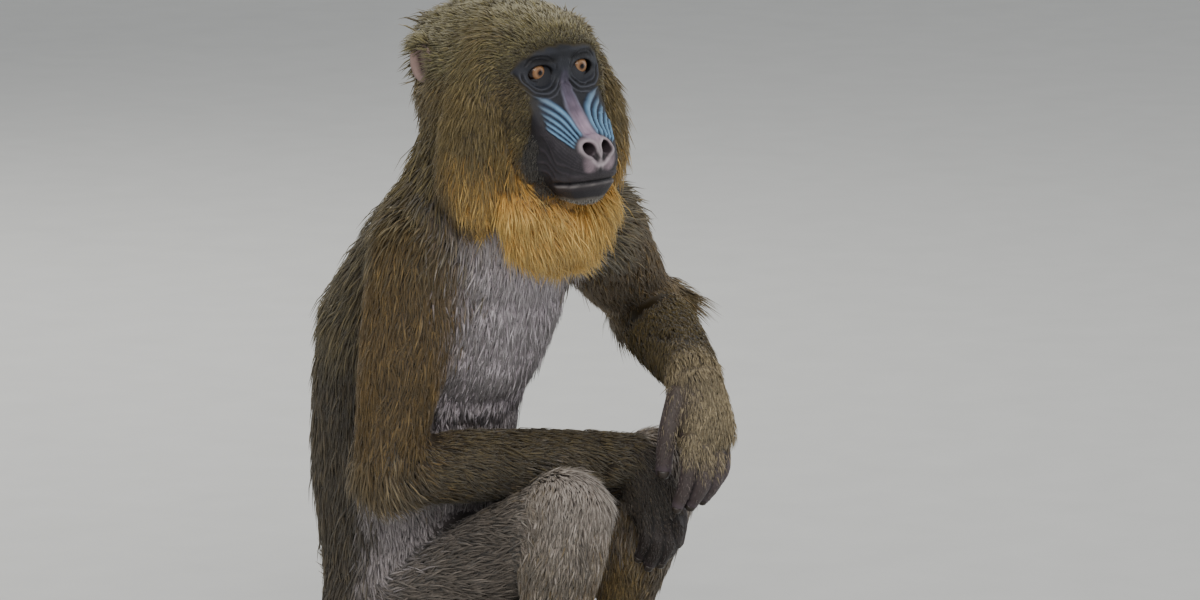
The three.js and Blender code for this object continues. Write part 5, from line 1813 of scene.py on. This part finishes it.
for label, steps in (("short", SHORT_STEPS), ("long", LONG_STEPS)):
    print("a", label, "tuft has", len(tuft_mesh(np.arange(1), steps)[1]), "triangles")

# %% [markdown]
# ## Colours of the tufts
# A mandrill's hair is banded, dark below and light towards the tip, which gives the coat its speckled
# look. Some tufts keep their dark colour almost to the tip, others are light over half of it.

# %% Colour the tufts
# how much brightness wavers in patches and from tuft to tuft
PATCHY, OWN = 0.14, 0.26
# the hair is darkest where it begins round the bare face
EDGE_DARK, EDGE_GAIN = 0.55, 0.45
# where along the tuft its light part is centred: the lowest place, and the spread above it
LIGHT_FROM, LIGHT_SPREAD = 0.25, 0.6
root_colour, tip_colour = weights @ ROOTS, weights @ TIPS
luck = rng.random((len(root), 3))
brightness = np.clip(1 + PATCHY * noise(root, 14, 51) + OWN * (luck[:, 0] - 0.5), 0.6, 1.5)
grown = np.clip(fade(edge, 0, 16) + fade(above, 0, 9) * (above > 0), 0, 1)
brightness *= np.where(on_head, EDGE_DARK + EDGE_GAIN * grown, 1)
banding = LIGHT_FROM + LIGHT_SPREAD * luck[:, 1]
print("mean brightness", round(float(brightness.mean()), 2))


def tuft_colours(along, of):
    """A colour for each point: how far along its tuft it is, and which tuft."""
    light = fade(along, banding[of] * 0.5, banding[of] + 0.35)
    colour = root_colour[of] * (0.7 + 0.3 * fade(along, 0, 0.4))[:, None]
    colour = colour + (tip_colour[of] - colour) * light[:, None]
    return np.clip(colour * brightness[of][:, None], 0, 1)


# %% [markdown]
# ## The coat's pieces
# The coat is divided where a person would name its parts, and each piece keeps under 200,000 triangles.
# For later painting, each tuft also gets a small patch of a flat map at its root's place: along the part
# on one axis, round it on the other.

# %% Build the coat's pieces
PIECES = {
    "coat_crown": ("olive_coat", ["skull"]),
    "coat_cheeks": ("olive_coat", ["ruff_right", "ruff_left"]),
    "coat_beard": ("orange_coat", ["beard"]),
    "coat_back": ("grey_coat", ["trunk"]),
    "coat_mantle": ("grey_coat", ["trunk"]),
    "coat_front": ("pale_coat", ["trunk"]),
    "coat_arm_right": ("golden_coat", ["upper_arm_right", "forearm_right"]),
    "coat_arm_left": ("golden_coat", ["upper_arm_left", "forearm_left"]),
    "coat_leg_right": ("grey_coat", ["thigh_right", "shin_right"]),
    "coat_leg_left": ("grey_coat", ["thigh_left", "shin_left"]),
}
rest = [n for n in part_names if not any(n in members for _, members in PIECES.values())]
PIECES["coat_hands_feet_tail"] = ("hand_skin", rest)
# the size of a tuft's patch on the map, and the empty edge and the filled share of a part's tile
PATCH, TILE_EDGE, TILE_FILL = 0.003, 0.02, 0.96
# the trunk's hair is divided into the front, and the back below and above this height
MANTLE = 240.0
in_front = weights[:, [NAMES.index("chest"), NAMES.index("belly")]].sum(1) > 0.5
high = root[:, 2] >= MANTLE
ONLY = {"coat_front": in_front, "coat_back": ~in_front & ~high, "coat_mantle": ~in_front & high}


def flat_place(pick, members):
    """Each root's place on an unwrap: one tile for each part, along it and round it."""
    place = np.zeros((len(pick), 2))
    columns = math.ceil(math.sqrt(len(members)))
    for tile, name in enumerate(members):
        mine = owners[pick] == part_names.index(name)
        if name == "skull":
            _, share, angle = skull.locate(to_head(root[pick[mine]]))
            angle = np.radians(angle)
        else:
            _, share, angle, _ = parts[name].locate(root[pick[mine]])
        spot = np.stack([np.clip(share, 0, 1), (angle + math.pi) / (2 * math.pi)], 1)
        corner = np.array((tile % columns, tile // columns))
        place[mine] = (corner + TILE_EDGE + TILE_FILL * spot) / columns
    return place


total = 0
for name, (slot, members) in PIECES.items():
    mine = np.isin(owners, [part_names.index(n) for n in members])
    pick = np.flatnonzero(mine & ONLY.get(name, True))
    blocks, start = [], 0
    for group, steps in ((pick[~long[pick]], SHORT_STEPS), (pick[long[pick]], LONG_STEPS)):
        if len(group) == 0:
            continue
        p, f, along, of = tuft_mesh(group, steps)
        place = flat_place(group, members)
        per = len(p) // len(group)
        ring = np.tile([0.5] + [k / 2 for k in range(3)] * (len(steps) - 2) + [0.5], len(group))
        uv = np.repeat(place, per, axis=0) + PATCH * np.stack([along, ring], 1)
        blocks.append((p, f + start, tuft_colours(along, of), uv))
        start += len(p)
    points, faces, colours, uv = (np.concatenate([b[k] for b in blocks]) for k in range(4))
    piece = mesh_object(name, points, faces, colours, hair)
    layer = piece.data.uv_layers.new(name="OFBake")
    layer.data.foreach_set("uv", np.clip(uv[faces.ravel()], 0, 1).astype(np.float32).ravel())
    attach(piece, "root")
    total += len(faces)
    print(name, len(pick), "tufts", len(faces), "triangles")
print("coat:", total, "triangles")

# %% [markdown]
# ## The floor
# The floor is a plain pale studio sweep: smooth painted board with the faintest mottling.

# %% Floor finish
# painted board: quite matt, so that it shows the model's soft shadow and no reflection
MOTTLE = 60 * MM
board, tree = new_material("painted_board_pale")
finish_material(tree, Base_Color=mottled(tree, MOTTLE, 5.0, "#c9c9c6", "#d4d4d1")[1], Roughness=0.8)
floor.data.materials.append(board)
print(board.name, "mottling", MOTTLE, "m")

# %% Sizes and finish
visual_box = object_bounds()
for label, box in (("cad", CAD_BOX), ("visual", visual_box)):
    print(label, [[round(v, 4) for v in corner] for corner in box])
